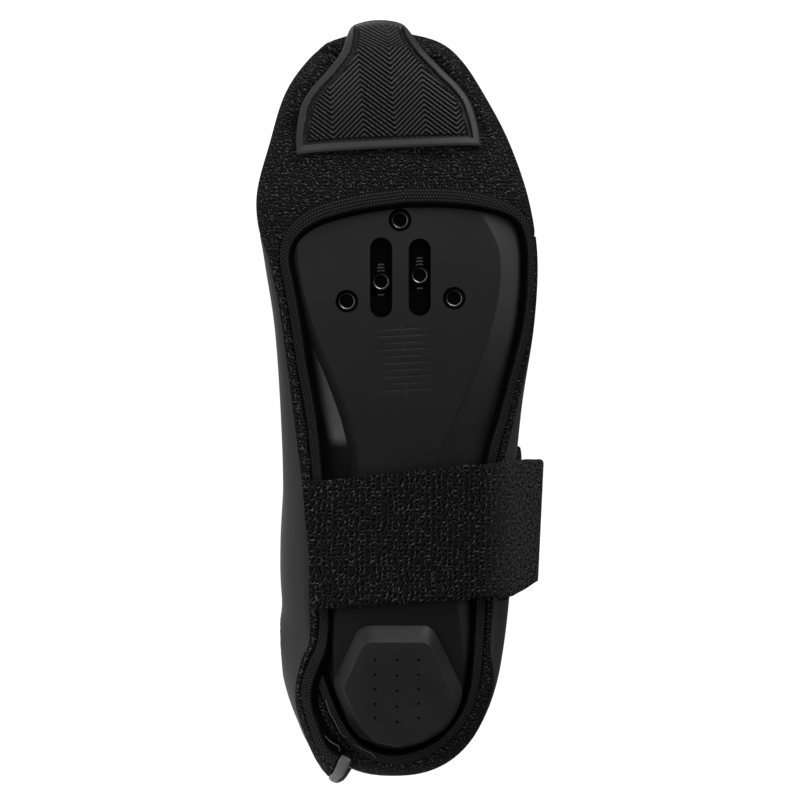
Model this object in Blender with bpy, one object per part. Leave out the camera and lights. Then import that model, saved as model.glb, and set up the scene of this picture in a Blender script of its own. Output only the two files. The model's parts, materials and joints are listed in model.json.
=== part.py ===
"""Left cycling overshoe in its worn form, lying on its medial side.

The shoe is drawn upright in millimetres: along runs from the heel to the toe, across is positive to the
lateral side, up is positive to the collar. An empty then lays the whole shoe on its medial side.
"""
import math
from collections import namedtuple

import bpy
import bmesh
import numpy as np
from mathutils import Matrix, Vector

for old in list(bpy.data.objects):
    bpy.data.objects.remove(old, do_unlink=True)

MM = 0.001

# Driving sizes of the overshoe, mm
LENGTH = 282.0
BALL_WIDTH = 105.0
COLLAR_HEIGHT = 205.0
WALL = 2.2
GAP = 0.3

# The last that the section table is drawn on, mm
LAST_LENGTH = 282.0
LAST_BALL_WIDTH = 105.0
LAST_COLLAR_HEIGHT = 205.0

# Each section runs from a low point on the sole line to a top point on the instep line. medial and lateral
# are its widest places, widest is how far up it they lie, and the curves are superellipse powers.
Section = namedtuple("Section", "top_along top_up low_along low_up medial lateral widest low_curve top_curve")
SECTIONS = [
    Section(282.0, 34.0, 282.0, 34.0, -6.8, -6.8, 0.50, 2.2, 2.2),
    Section(281.0, 40.0, 281.0, 28.5, -16.0, 2.4, 0.48, 2.2, 2.2),
    Section(277.5, 47.0, 277.5, 22.5, -26.4, 15.0, 0.46, 2.4, 2.2),
    Section(270.5, 53.0, 270.5, 16.5, -35.0, 23.4, 0.43, 2.8, 2.2),
    Section(258.0, 58.5, 258.0, 10.0, -43.4, 31.6, 0.39, 3.4, 2.2),
    Section(240.0, 63.5, 240.0, 4.4, -49.0, 41.0, 0.35, 4.2, 2.2),
    Section(217.0, 71.0, 218.0, 0.9, -54.2, 48.6, 0.31, 4.8, 2.2),
    Section(192.0, 81.0, 196.0, 0.0, -51.2, 51.8, 0.28, 4.8, 2.2),
    Section(171.0, 94.0, 170.0, 0.8, -47.4, 50.6, 0.26, 4.8, 2.2),
    Section(156.0, 105.0, 136.0, 3.8, -45.2, 46.0, 0.25, 4.6, 2.2),
    Section(145.0, 115.5, 100.0, 6.2, -44.2, 43.2, 0.25, 4.4, 2.2),
    Section(137.5, 126.0, 62.0, 6.2, -45.2, 42.0, 0.25, 4.2, 2.2),
    Section(131.5, 137.0, 27.0, 4.2, -41.6, 38.6, 0.26, 3.6, 2.2),
    Section(126.5, 148.5, 5.6, 8.5, -37.6, 34.4, 0.30, 2.7, 2.2),
    Section(122.0, 160.0, 0.2, 32.0, -37.4, 32.2, 0.36, 2.45, 2.2),
    Section(118.0, 172.0, 3.5, 72.0, -36.8, 32.0, 0.42, 2.3, 2.2),
    Section(115.0, 183.0, 12.0, 118.0, -36.6, 31.0, 0.46, 2.2, 2.2),
    Section(113.0, 194.0, 17.0, 160.0, -36.2, 30.6, 0.50, 2.2, 2.2),
    Section(112.0, 205.0, 18.0, 198.0, -36.2, 30.6, 0.50, 2.2, 2.2),
]

# Edge of the underside opening, front centre to the heel, seen from below; band is the binding and knit
# together. The lateral edge runs round the heel and ends under the medial one.
EdgePoint = namedtuple("EdgePoint", "along across band")
LATERAL_EDGE = [
    EdgePoint(215.4, 2.0, 12.0), EdgePoint(215.4, 16.6, 12.0), EdgePoint(213.7, 32.0, 12.0),
    EdgePoint(210.0, 43.4, 12.0), EdgePoint(202.5, 47.8, 11.5), EdgePoint(188.0, 48.4, 10.5),
    EdgePoint(171.4, 46.8, 10.0), EdgePoint(155.5, 42.7, 9.2), EdgePoint(137.0, 37.5, 8.6),
    EdgePoint(119.0, 32.2, 8.4), EdgePoint(90.0, 29.0, 8.2), EdgePoint(62.0, 28.2, 7.8),
    EdgePoint(46.0, 27.5, 8.2), EdgePoint(37.0, 26.8, 11.0), EdgePoint(30.5, 25.8, 15.5),
    EdgePoint(22.6, 22.6, 18.8), EdgePoint(14.0, 13.9, 21.2), EdgePoint(9.2, -1.0, 21.6),
    EdgePoint(12.5, -13.9, 20.0), EdgePoint(21.0, -21.3, 17.0), EdgePoint(30.2, -25.7, 13.0),
    EdgePoint(37.5, -28.7, 9.0),
]
MEDIAL_EDGE = [
    EdgePoint(215.4, 2.0, 12.0), EdgePoint(213.0, -14.3, 12.0), EdgePoint(208.8, -29.5, 12.0),
    EdgePoint(203.5, -37.8, 12.0), EdgePoint(196.5, -41.3, 10.8), EdgePoint(186.5, -39.7, 9.6),
    EdgePoint(171.4, -37.0, 9.4), EdgePoint(156.0, -34.7, 9.2), EdgePoint(137.0, -31.2, 9.8),
    EdgePoint(117.5, -29.1, 9.2), EdgePoint(90.0, -27.2, 7.8), EdgePoint(62.0, -26.2, 8.2),
    EdgePoint(52.0, -26.6, 7.6), EdgePoint(46.0, -27.3, 7.2), EdgePoint(40.0, -29.1, 6.8),
    EdgePoint(34.0, -31.0, 6.6), EdgePoint(28.0, -31.8, 7.0), EdgePoint(22.0, -30.8, 9.6),
    EdgePoint(17.0, -28.3, 12.8), EdgePoint(13.6, -25.8, 15.2), EdgePoint(11.4, -23.1, 16.6),
    EdgePoint(10.6, -20.6, 17.2),
]
LATERAL_FRONT_STEPS = 9
LATERAL_BACK_STEPS = 35
MEDIAL_FRONT_STEPS = 8
MEDIAL_BACK_STEPS = 28
BINDING_WIDTH = 4.8
BINDING_SWELL = 0.8

# Seam between the toe panel and the upper: rise from the strip to the instep line, and place along
ToeSeam = namedtuple("ToeSeam", "rise medial_along lateral_along")
TOE_SEAM = [
    ToeSeam(0.10, 205.0, 205.0),
    ToeSeam(0.25, 210.0, 208.0),
    ToeSeam(0.45, 216.0, 214.0),
    ToeSeam(0.65, 220.5, 219.5),
    ToeSeam(0.85, 223.0, 223.0),
    ToeSeam(1.00, 223.5, 223.5),
]
TOE_RINGS = 9

# Back closure: the medial half laps over the lateral half, shares of the half girth
UNDERLAP_SHARE = -0.20
OVERLAP_SHARE = -0.090
LAP_LIFT = WALL + 1.7
LAP_START_ALONG = 54.0
LAP_FULL_ALONG = 41.5
LAP_START_SHARE = -0.33
LAP_FULL_SHARE = -0.235
FLARE_LIFT = 3.2
FLARE_START_ALONG = 24.0
FLARE_FULL_ALONG = 9.0
FLARE_END_ROW = 16.4
FLARE_SHARE = -0.185
TAPE_WIDTH = 3.4
TAPE_SWELL = 0.5
TAPE_STEPS = 24
TAPE_LOW_OUT = 1.0
TAPE_GAP = 0.7

# Upper mesh: rows up the wall, columns whose top ends lie on the instep line and on the collar
UPPER_ROWS = 12
SEAM_STEP = 0.0009
VAMP_COLUMNS = 12

# Toe guard, set out on a plane tilted up at the toe
GUARD_TILT = math.radians(35.0)
GUARD_LIFT = 0.5
GUARD_RIM_HEIGHT = 2.5
GUARD_FIELD_HEIGHT = 1.9
GUARD_RIM = 2.6
GUARD_COLUMNS = 12
GuardRow = namedtuple("GuardRow", "reach centre half")
GUARD_ROWS = [
    GuardRow(0.0, -4.2, 34.2), GuardRow(8.0, -4.8, 33.4), GuardRow(17.0, -5.3, 31.1),
    GuardRow(23.0, -5.35, 27.4), GuardRow(29.5, -5.4, 21.5), GuardRow(37.5, -6.3, 15.4),
    GuardRow(44.0, -7.4, 12.4), GuardRow(50.0, -8.0, 10.6), GuardRow(54.0, -8.4, 9.6),
    GuardRow(56.4, -8.5, 7.6),
]
GUARD_REAR = 196.0
GUARD_SLANT = 1.5
GUARD_SLANT_RUN = 30.0

# Sole plate: the flat face that shows, and how far its side reaches to the wall (1) or stays a bevel (0)
PlateRow = namedtuple("PlateRow", "along up medial lateral reach_medial reach_lateral")
PLATE_ROWS = [
    PlateRow(266.0, 19.0, -14.0, 1.0, 0.4, 0.4),
    PlateRow(262.0, 16.4, -22.0, 9.0, 0.6, 0.6),
    PlateRow(252.0, 11.6, -29.0, 17.0, 0.8, 0.8),
    PlateRow(234.0, 6.6, -34.0, 25.0, 0.9, 0.9),
    PlateRow(215.0, 4.6, -38.0, 29.6, 0.9, 1.0),
    PlateRow(200.0, 4.2, -38.6, 36.6, 0.8, 1.0),
    PlateRow(185.0, 4.2, -36.6, 37.3, 0.45, 1.0),
    PlateRow(170.0, 4.2, -32.4, 34.2, 0.05, 1.0),
    PlateRow(157.0, 5.0, -27.0, 29.8, 0.0, 1.0),
    PlateRow(144.0, 6.6, -21.8, 24.4, 0.0, 1.0),
    PlateRow(131.0, 8.4, -17.6, 18.4, 0.0, 0.95),
    PlateRow(115.0, 10.0, -15.4, 13.0, 0.0, 0.9),
    PlateRow(92.0, 10.6, -16.0, 14.0, 0.2, 0.85),
    PlateRow(70.0, 9.4, -22.0, 20.4, 0.4, 0.8),
    PlateRow(58.0, 8.8, -24.4, 22.6, 0.4, 0.8),
    PlateRow(42.0, 8.2, -25.0, 23.4, 0.5, 0.7),
    PlateRow(26.0, 8.2, -21.6, 20.6, 0.4, 0.5),
    PlateRow(16.0, 8.4, -16.0, 12.0, 0.2, 0.3),
    PlateRow(12.6, 8.8, -9.0, 4.0, 0.1, 0.1),
]
PLATE_THICK = 4.0
PLATE_FLAT_COLUMNS = 6
PLATE_SIDE_COLUMNS = 2
BEVEL_OUT = 3.6
BEVEL_UP = 3.0
WALL_CLEAR = 1.2
SIDE_REACH = 30.0
HEEL_REACH_START = 8.0
HEEL_REACH_RUN = 40.0
INSOLE_THICK = 2.6
INSOLE_GAP = 0.8

# Cleat fixings in the plate
Bolt = namedtuple("Bolt", "name along across")
BOLTS = [
    Bolt("insert_front", 210.0, 0.0),
    Bolt("insert_medial", 179.5, -20.0),
    Bolt("insert_lateral", 180.6, 20.4),
]
BOLT_HOLE_RADIUS = 4.0
INSERT_RADIUS = 3.7
INSERT_BORE = 2.5
INSERT_SUNK = 0.8
Slot = namedtuple("Slot", "name across rear front nut_along")
SLOTS = [
    Slot("slot_nut_medial", -7.1, 173.6, 203.2, 186.9),
    Slot("slot_nut_lateral", 7.4, 174.2, 202.8, 189.3),
]
SLOT_WIDTH = 7.8
NUT_RADIUS = 3.5
NUT_BORE = 2.4
NUT_SUNK = 1.6

# Heel pad: corners of its foot, and of its flat face inside the chamfer, which is wide in front and fades out
# at the back: a straight front edge, two slanted sides and a round back
PadPoint = namedtuple("PadPoint", "along across face_along face_across")
PAD_OUTLINE = [
    PadPoint(57.5, -12.6, 51.1, -12.2),
    PadPoint(57.5, 10.7, 51.1, 10.0),
    PadPoint(54.6, 13.4, 49.6, 11.6),
    PadPoint(34.1, 23.4, 33.5, 18.8),
    PadPoint(29.8, 23.2, 29.6, 20.2),
    PadPoint(23.6, 20.8, 24.2, 19.0),
    PadPoint(18.3, 17.0, 19.3, 16.0),
    PadPoint(13.6, 9.4, 14.5, 9.0),
    PadPoint(11.3, -0.6, 12.1, -0.6),
    PadPoint(13.0, -9.4, 13.9, -8.9),
    PadPoint(17.2, -14.6, 18.2, -13.6),
    PadPoint(24.0, -20.0, 25.0, -17.6),
    PadPoint(31.0, -23.6, 30.6, -20.0),
    PadPoint(36.3, -25.3, 33.8, -21.4),
    PadPoint(55.5, -16.0, 49.8, -14.0),
]
PAD_FOOT = 2.6
PAD_FACE_UP = 0.0
PAD_EDGE = 0.12
PAD_EDGE_UP = 0.5

# Arch strap, its path from the medial strip to the lateral tab
StrapPoint = namedtuple("StrapPoint", "across up")
STRAP_PATH = [
    StrapPoint(-36.4, 7.6),
    StrapPoint(-34.0, 6.5),
    StrapPoint(-29.0, 5.1),
    StrapPoint(-10.0, 4.5),
    StrapPoint(10.0, 4.4),
    StrapPoint(30.0, 5.2),
    StrapPoint(38.0, 6.2),
    StrapPoint(42.0, 7.1),
]
TAB_PATH = [
    StrapPoint(42.4, 7.2),
    StrapPoint(46.0, 8.2),
    StrapPoint(50.0, 9.8),
    StrapPoint(53.8, 12.0),
]
STRAP_THICK = 2.0
TAB_THICK = 1.6
STRAP_FRONT_MEDIAL = 111.4
STRAP_REAR_MEDIAL = 63.0
STRAP_FRONT_LATERAL = 119.4
STRAP_REAR_LATERAL = 68.6
STRAP_STEPS = 20
STRAP_COLUMNS = 4
STRAP_MEDIAL_CUT = 0.055
TAB_REAR_RISE = 0.5
TAB_LATERAL_CUT = 0.20

# Landing patch on the lateral wall
PATCH_REAR_ALONG = 61.0
PATCH_FRONT_ALONG = 116.0
PATCH_LOW_GIRTH = 37.5
PATCH_TOP_GIRTH = 74.0
PATCH_THICK = 1.4
PATCH_STEPS = 9


# The form: a smooth closed sock through the sections

def section_rows():
    """Section table graded from the last to the driving sizes, with a mirrored row before the toe tip."""
    grade = np.array([LENGTH / LAST_LENGTH, COLLAR_HEIGHT / LAST_COLLAR_HEIGHT, LENGTH / LAST_LENGTH,
                      COLLAR_HEIGHT / LAST_COLLAR_HEIGHT, BALL_WIDTH / LAST_BALL_WIDTH,
                      BALL_WIDTH / LAST_BALL_WIDTH, 1.0, 1.0, 1.0])
    rows = np.array(SECTIONS, dtype=float) * grade
    first = rows[1]
    mirrored = first[[2, 3, 0, 1, 5, 4, 6, 7, 8]]
    mirrored[6] = 1.0 - first[6]
    last = 2.0 * rows[-1] - rows[-2]
    return np.vstack([mirrored, rows, last])


FORM_ROWS = section_rows()
LAST_ROW = len(SECTIONS) - 1


def section_at(t):
    """Section values at t, 0 at the toe tip and 1 at the collar, by a spline through the rows."""
    place = np.asarray(t, dtype=float) * LAST_ROW
    start = np.clip(np.floor(place).astype(int), 0, LAST_ROW - 1)
    f = (place - start)[..., None]
    a, b, c, d = (FORM_ROWS[start + i] for i in range(4))
    return 0.5 * (2 * b + (c - a) * f + (2 * a - 5 * b + 4 * c - d) * f ** 2 + (3 * b - a - 3 * c + d) * f ** 3)


def half_outline(values, angle):
    """Half a section: share of the half width, and share of the height, at an angle from the sole line."""
    widest, low_curve, top_curve = values[..., 6], values[..., 7], values[..., 8]
    low = angle <= 0.5 * math.pi
    power = 2.0 / np.where(low, low_curve, top_curve)
    out = np.abs(np.sin(angle)) ** power
    fall = np.abs(np.cos(angle)) ** power
    rise = np.where(low, widest * (1.0 - fall), widest + (1.0 - widest) * fall)
    return out, rise


GIRTH_ROWS = 181
GIRTH_STEPS = 160


def girth_table():
    """Half girth of each section, and the angle at even shares of it."""
    t = np.linspace(0.0, 1.0, GIRTH_ROWS)
    values = section_at(np.maximum(t, 0.002))[:, None, :]
    angle = np.linspace(0.0, math.pi, 721)[None, :]
    out, rise = half_outline(values, angle)
    half = 0.5 * (values[..., 5] - values[..., 4])
    height = np.hypot(values[..., 0] - values[..., 2], values[..., 1] - values[..., 3])
    step = np.hypot(np.diff(out * half, axis=1), np.diff(rise * height, axis=1))
    run = np.concatenate([np.zeros((GIRTH_ROWS, 1)), np.cumsum(step, axis=1)], axis=1)
    share = np.linspace(0.0, 1.0, GIRTH_STEPS + 1)
    angles = np.array([np.interp(share, row / row[-1], angle[0]) for row in run])
    return t, run[:, -1], angles


GIRTH_T, HALF_GIRTH, GIRTH_ANGLE = girth_table()


def girth_at(t):
    return np.interp(t, GIRTH_T, HALF_GIRTH)


def point_on(t, share):
    """Point of the bare form: share 0 is the sole line, 1 the instep line, negative on the medial side."""
    t, share = np.broadcast_arrays(np.asarray(t, dtype=float), np.asarray(share, dtype=float))
    turn = np.mod(share + 1.0, 2.0) - 1.0
    side = np.where(turn < 0.0, -1.0, 1.0)
    row = np.clip(t, 0.0, 1.0) * (GIRTH_ROWS - 1)
    col = np.clip(np.abs(turn), 0.0, 1.0) * GIRTH_STEPS
    r = np.clip(np.floor(row).astype(int), 0, GIRTH_ROWS - 2)
    c = np.clip(np.floor(col).astype(int), 0, GIRTH_STEPS - 1)
    fr, fc = row - r, col - c
    angle = ((1 - fr) * ((1 - fc) * GIRTH_ANGLE[r, c] + fc * GIRTH_ANGLE[r, c + 1])
             + fr * ((1 - fc) * GIRTH_ANGLE[r + 1, c] + fc * GIRTH_ANGLE[r + 1, c + 1]))
    values = section_at(t)
    out, rise = half_outline(values, angle)
    along = values[..., 2] + rise * (values[..., 0] - values[..., 2])
    up = values[..., 3] + rise * (values[..., 1] - values[..., 3])
    across = 0.5 * (values[..., 4] + values[..., 5]) + side * out * 0.5 * (values[..., 5] - values[..., 4])
    return np.stack([along, across, up], axis=-1)


def normal_on(t, share):
    """Outward unit normal of the form; straight forward at the toe tip."""
    t, share = np.broadcast_arrays(np.asarray(t, dtype=float), np.asarray(share, dtype=float))
    dt, ds = 0.0015, 0.004
    near = np.maximum(t, dt)
    run = point_on(near + dt, share) - point_on(near - dt, share)
    turn = point_on(near, share + ds) - point_on(near, share - ds)
    normal = np.cross(run, turn)
    normal /= np.linalg.norm(normal, axis=-1, keepdims=True)
    tip = np.array([1.0, 0.0, 0.0])
    weight = np.clip(t / 0.01, 0.0, 1.0)[..., None]
    normal = weight * normal + (1.0 - weight) * tip
    return normal / np.linalg.norm(normal, axis=-1, keepdims=True)


def on_form(t, share, lift=0.0):
    """Point of the form moved out by lift."""
    return point_on(t, share) + normal_on(t, share) * np.asarray(lift, dtype=float)[..., None]


SOLE_T = np.linspace(0.0, 14.0 / LAST_ROW, 400)
SOLE_ALONG = section_at(SOLE_T)[:, 2]
SOLE_CENTRE = 0.5 * (section_at(SOLE_T)[:, 4] + section_at(SOLE_T)[:, 5])
TOP_ALONG = section_at(SOLE_T)[:, 0]
BACK_T = np.linspace(0.0, 1.0, 600)
BACK_POINTS = section_at(BACK_T)[:, [2, 3]]
BACK_RUN = np.concatenate([[0.0], np.cumsum(np.linalg.norm(np.diff(BACK_POINTS, axis=0), axis=1))])


def t_at_along(along):
    """Section whose sole line point lies at this place along the shoe."""
    return np.interp(-np.asarray(along, dtype=float), -SOLE_ALONG, SOLE_T)


def t_at_top(along):
    """Section whose instep line point lies at this place along the shoe."""
    return np.interp(-np.asarray(along, dtype=float), -TOP_ALONG, SOLE_T)


def smooth(x):
    x = np.clip(x, 0.0, 1.0)
    return x * x * (3.0 - 2.0 * x)


def lap_lift(t, share):
    """How far the medial half stands out where it laps over the lateral half at the back."""
    start, full = t_at_along(LAP_START_ALONG), t_at_along(LAP_FULL_ALONG)
    back = smooth((np.asarray(t) - start) / (full - start))
    near = smooth((np.asarray(share) - LAP_START_SHARE) / (LAP_FULL_SHARE - LAP_START_SHARE))
    # The free end flares away from the heel near the sole
    start, full = t_at_along(FLARE_START_ALONG), t_at_along(FLARE_FULL_ALONG)
    low = smooth((np.asarray(t) - start) / (full - start))
    high = smooth((FLARE_END_ROW - np.asarray(t) * LAST_ROW) / 2.0)
    free = smooth((np.asarray(share) - FLARE_SHARE) / (OVERLAP_SHARE - FLARE_SHARE))
    return LAP_LIFT * back * near + FLARE_LIFT * low * high * free


# The flat chart of the underside: run along the sole line and girth away from it

def spline_through(points, steps):
    """Smooth open curve through the points, evenly spaced."""
    points = np.asarray(points, dtype=float)
    padded = np.vstack([2 * points[0] - points[1], points, 2 * points[-1] - points[-2]])
    fine = []
    for i in range(len(points) - 1):
        a, b, c, d = padded[i:i + 4]
        f = np.linspace(0.0, 1.0, 24, endpoint=False)[:, None]
        fine.append(0.5 * (2 * b + (c - a) * f + (2 * a - 5 * b + 4 * c - d) * f ** 2
                           + (3 * b - a - 3 * c + d) * f ** 3))
    fine = np.vstack(fine + [points[-1:]])
    run = np.concatenate([[0.0], np.cumsum(np.linalg.norm(np.diff(fine[:, :2], axis=0), axis=1))])
    even = np.linspace(0.0, run[-1], steps)
    return np.stack([np.interp(even, run, fine[:, k]) for k in range(fine.shape[1])], axis=1)


def chart_edge(edge, steps):
    """Opening edge in the chart: run, girth and band width at even steps."""
    rows = np.array(edge, dtype=float)
    t = t_at_along(rows[:, 0])
    run = np.interp(t, BACK_T, BACK_RUN)
    girth = rows[:, 1] - np.interp(t, SOLE_T, SOLE_CENTRE)
    return spline_through(np.stack([run, girth, rows[:, 2]], axis=1), steps)


def outward(curve, side):
    """Unit direction away from the opening along a chart curve; side is +1 for the lateral edge."""
    tangent = np.gradient(curve[:, :2], axis=0)
    tangent /= np.linalg.norm(tangent, axis=1, keepdims=True)
    return side * np.stack([-tangent[:, 1], tangent[:, 0]], axis=1)


def chart_to_form(place):
    """Section and share of girth at a chart place."""
    t = np.interp(place[..., 0], BACK_RUN, BACK_T)
    return t, place[..., 1] / girth_at(t)


# Meshes

def colour_of(name, colour, rough):
    material = bpy.data.materials.new(name)
    material.use_nodes = True
    shader = material.node_tree.nodes["Principled BSDF"]
    shader.inputs["Base Color"].default_value = (*colour, 1.0)
    shader.inputs["Roughness"].default_value = rough
    material.diffuse_color = (*colour, 1.0)
    return material


COATED = colour_of("coated_fabric", (0.030, 0.030, 0.032), 0.55)
KNIT = colour_of("looped_knit", (0.016, 0.016, 0.017), 0.90)
TAPE = colour_of("elastic_tape", (0.012, 0.012, 0.013), 0.75)
RUBBER = colour_of("moulded_rubber", (0.030, 0.030, 0.031), 0.60)
PLATE = colour_of("composite_plate", (0.024, 0.024, 0.026), 0.45)
METAL = colour_of("dark_steel", (0.060, 0.060, 0.062), 0.35)
GREY = colour_of("grey_tape", (0.180, 0.180, 0.180), 0.60)
FELT = colour_of("insole_cloth", (0.045, 0.045, 0.047), 0.85)

PIECES = []


def add_piece(name, points, faces, material, round_faces=True):
    """One closed body from points in mm."""
    mesh = bpy.data.meshes.new(name)
    mesh.from_pydata([tuple(float(v) * MM for v in p) for p in points], [], faces)
    body = bmesh.new()
    body.from_mesh(mesh)
    bmesh.ops.recalc_face_normals(body, faces=body.faces)
    body.to_mesh(mesh)
    body.free()
    mesh.polygons.foreach_set("use_smooth", [round_faces] * len(mesh.polygons))
    mesh.materials.append(material)
    piece = bpy.data.objects.new(name, mesh)
    bpy.context.collection.objects.link(piece)
    PIECES.append(piece)
    return piece


def grid_faces(rows, columns, first=0):
    """Four-sided faces of a grid of points listed row by row."""
    return [(first + i * columns + j, first + i * columns + j + 1,
             first + (i + 1) * columns + j + 1, first + (i + 1) * columns + j)
            for i in range(rows - 1) for j in range(columns - 1)]


def thick_piece(name, outer, inner, faces, material):
    """Closed body between two matching surfaces: both skins, and a rim along every free edge."""
    count = len(outer)
    used = {}
    for face in faces:
        for a, b in zip(face, face[1:] + face[:1]):
            used[(a, b)] = used.get((a, b), 0) + 1
    rim = [(a, b, b + count, a + count) for (a, b) in used if (b, a) not in used]
    skins = list(faces) + [tuple(i + count for i in reversed(face)) for face in faces]
    skins += [tuple(reversed(face)) for face in rim]
    return add_piece(name, np.vstack([outer, inner]), skins, material)


def sweep_piece(name, rings, material):
    """Closed body through a row of rings with flat ends."""
    count, around = rings.shape[:2]
    faces = [(i * around + j, i * around + (j + 1) % around,
              (i + 1) * around + (j + 1) % around, (i + 1) * around + j)
             for i in range(count - 1) for j in range(around)]
    faces.append(tuple(range(around)))
    faces.append(tuple(reversed(range((count - 1) * around, count * around))))
    return add_piece(name, rings.reshape(-1, 3), faces, material)


# Strips along the opening: binding at the edge, knit outside it

FINE = 400


def strip_picks(curve, out, front_steps, back_steps):
    """Points of an edge that every piece along it shares: front ones to the furthest corner, then back."""
    _, share = chart_to_form(curve[:FINE // 2, :2] + out[:FINE // 2] * (BINDING_WIDTH + GAP))
    turn = int(np.argmax(np.abs(share)))
    front = np.linspace(0, turn, front_steps).round().astype(int)
    back = np.linspace(turn, FINE - 1, back_steps).round().astype(int)
    return front, back


Strip = namedtuple("Strip", "side curve seam out front back lapped")


def strip(edge, side, front_steps, back_steps, lapped):
    curve = chart_edge(edge, FINE)
    out = outward(curve, side)
    seam = curve[:, :2] + out * curve[:, 2:3]
    front, back = strip_picks(curve, out, front_steps, back_steps)
    return Strip(side, curve, seam, out, front, back, lapped)


LATERAL = strip(LATERAL_EDGE, 1.0, LATERAL_FRONT_STEPS, LATERAL_BACK_STEPS, False)
MEDIAL = strip(MEDIAL_EDGE, -1.0, MEDIAL_FRONT_STEPS, MEDIAL_BACK_STEPS, True)


def strip_lift(line, t, share):
    return lap_lift(t, share) if line.lapped else np.zeros(np.shape(t))


def rand_piece(name, line):
    """Knit strip between the binding and the seam, from the junction at the ball to the closure."""
    keep = line.back.copy()
    keep[0] += 1
    out = line.out[keep]
    inner_edge = line.curve[keep, :2] + out * (BINDING_WIDTH + GAP)
    outer_edge = line.curve[keep, :2] + out * (line.curve[keep, 2:3] - 0.5 * GAP)
    share_across = np.linspace(0.0, 1.0, 3)[None, :, None]
    place = inner_edge[:, None, :] + (outer_edge - inner_edge)[:, None, :] * share_across
    t, share = chart_to_form(place.reshape(-1, 2))
    lift = strip_lift(line, t, share)
    return thick_piece(name, on_form(t, share, lift), on_form(t, share, lift - WALL),
                       grid_faces(len(keep), 3), KNIT)


rand_piece("rand_lateral", LATERAL)
rand_piece("rand_medial", MEDIAL)

BindingPoint = namedtuple("BindingPoint", "out lift")
BINDING_PROFILE = [
    BindingPoint(0.6, BINDING_SWELL * 0.6),
    BindingPoint(2.0, BINDING_SWELL),
    BindingPoint(BINDING_WIDTH, BINDING_SWELL * 0.5),
    BindingPoint(BINDING_WIDTH, -WALL - 0.2),
    BindingPoint(1.2, -WALL - 0.4),
    BindingPoint(0.0, -0.5 * WALL),
]


def binding_rings(line, picks):
    """Rings of the binding profile along a strip."""
    rings = []
    for point in BINDING_PROFILE:
        t, share = chart_to_form(line.curve[picks, :2] + line.out[picks] * point.out)
        rings.append(on_form(t, share, strip_lift(line, t, share) + point.lift))
    return np.stack(rings, axis=1)


lateral_picks = np.concatenate([LATERAL.front, LATERAL.back[1:]])[::-1]
medial_picks = np.concatenate([MEDIAL.front[1:], MEDIAL.back[1:]])
sweep_piece("binding", np.concatenate([binding_rings(LATERAL, lateral_picks),
                                       binding_rings(MEDIAL, medial_picks)]), TAPE)


# Toe panel: a knit cap spread from the toe tip to the opening, the strips and the seam

def front_edge(line):
    """Rear edge of the toe panel on the underside: section and share along the binding's outer edge."""
    picks = line.front
    return chart_to_form(line.curve[picks, :2] + line.out[picks] * (BINDING_WIDTH + GAP))


def seam_corner(line):
    """Section and share where the seam, the strip and the toe panel meet."""
    t, share = chart_to_form(line.seam[line.front[-1]])
    return float(t), abs(float(share))


def toe_limit(share):
    """Section where the toe panel ends, at a share of girth."""
    limit = np.zeros(len(share))
    rows = np.array(TOE_SEAM)
    for line, column in ((LATERAL, 2), (MEDIAL, 1)):
        edge_t, edge_share = front_edge(line)
        corner_t, corner = seam_corner(line)
        shares = np.concatenate([line.side * edge_share, [corner], corner + (1.0 - corner) * rows[:, 0]])
        limits = np.concatenate([edge_t, [corner_t], t_at_along(rows[:, column])])
        limits[-1] = t_at_top(rows[-1, column])
        mine = line.side * share >= 0.0
        limit[mine] = np.interp(line.side * share[mine], np.maximum.accumulate(shares), limits)
    return limit


def toe_shares():
    """Columns of the toe panel: those of the binding below, and those of the upper's first edge above."""
    columns = []
    for line in (LATERAL, MEDIAL):
        low = line.side * front_edge(line)[1]
        high = np.linspace(seam_corner(line)[1], 1.0, UPPER_ROWS)
        columns.append(line.side * np.concatenate([low, high]))
    lateral, medial = columns
    return np.concatenate([lateral, medial[1:-1][::-1]])


toe_columns = toe_shares()
toe_edge = toe_limit(toe_columns)
toe_steps = np.linspace(0.0, 1.0, TOE_RINGS + 1)[1:, None]
toe_t = (toe_steps * toe_edge[None, :]).reshape(-1)
toe_share = np.broadcast_to(toe_columns[None, :], (TOE_RINGS, len(toe_columns))).reshape(-1)
toe_outer = np.vstack([on_form(np.array([0.0]), np.array([0.0]), np.array([0.0])),
                       on_form(toe_t, toe_share, np.zeros(len(toe_t)))])
toe_inner = np.vstack([on_form(np.array([0.0]), np.array([0.0]), np.array([-WALL])),
                       on_form(toe_t, toe_share, np.full(len(toe_t), -WALL))])
around = len(toe_columns)
toe_faces = [(0, 1 + j, 1 + (j + 1) % around) for j in range(around)]
toe_faces += [(1 + i * around + j, 1 + (i + 1) * around + j,
               1 + (i + 1) * around + (j + 1) % around, 1 + i * around + (j + 1) % around)
              for i in range(TOE_RINGS - 1) for j in range(around)]
thick_piece("toe_panel", toe_outer, toe_inner, toe_faces, KNIT)


# Upper: a lateral and a medial half, joined along the instep, each spread from the seam to the top

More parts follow.
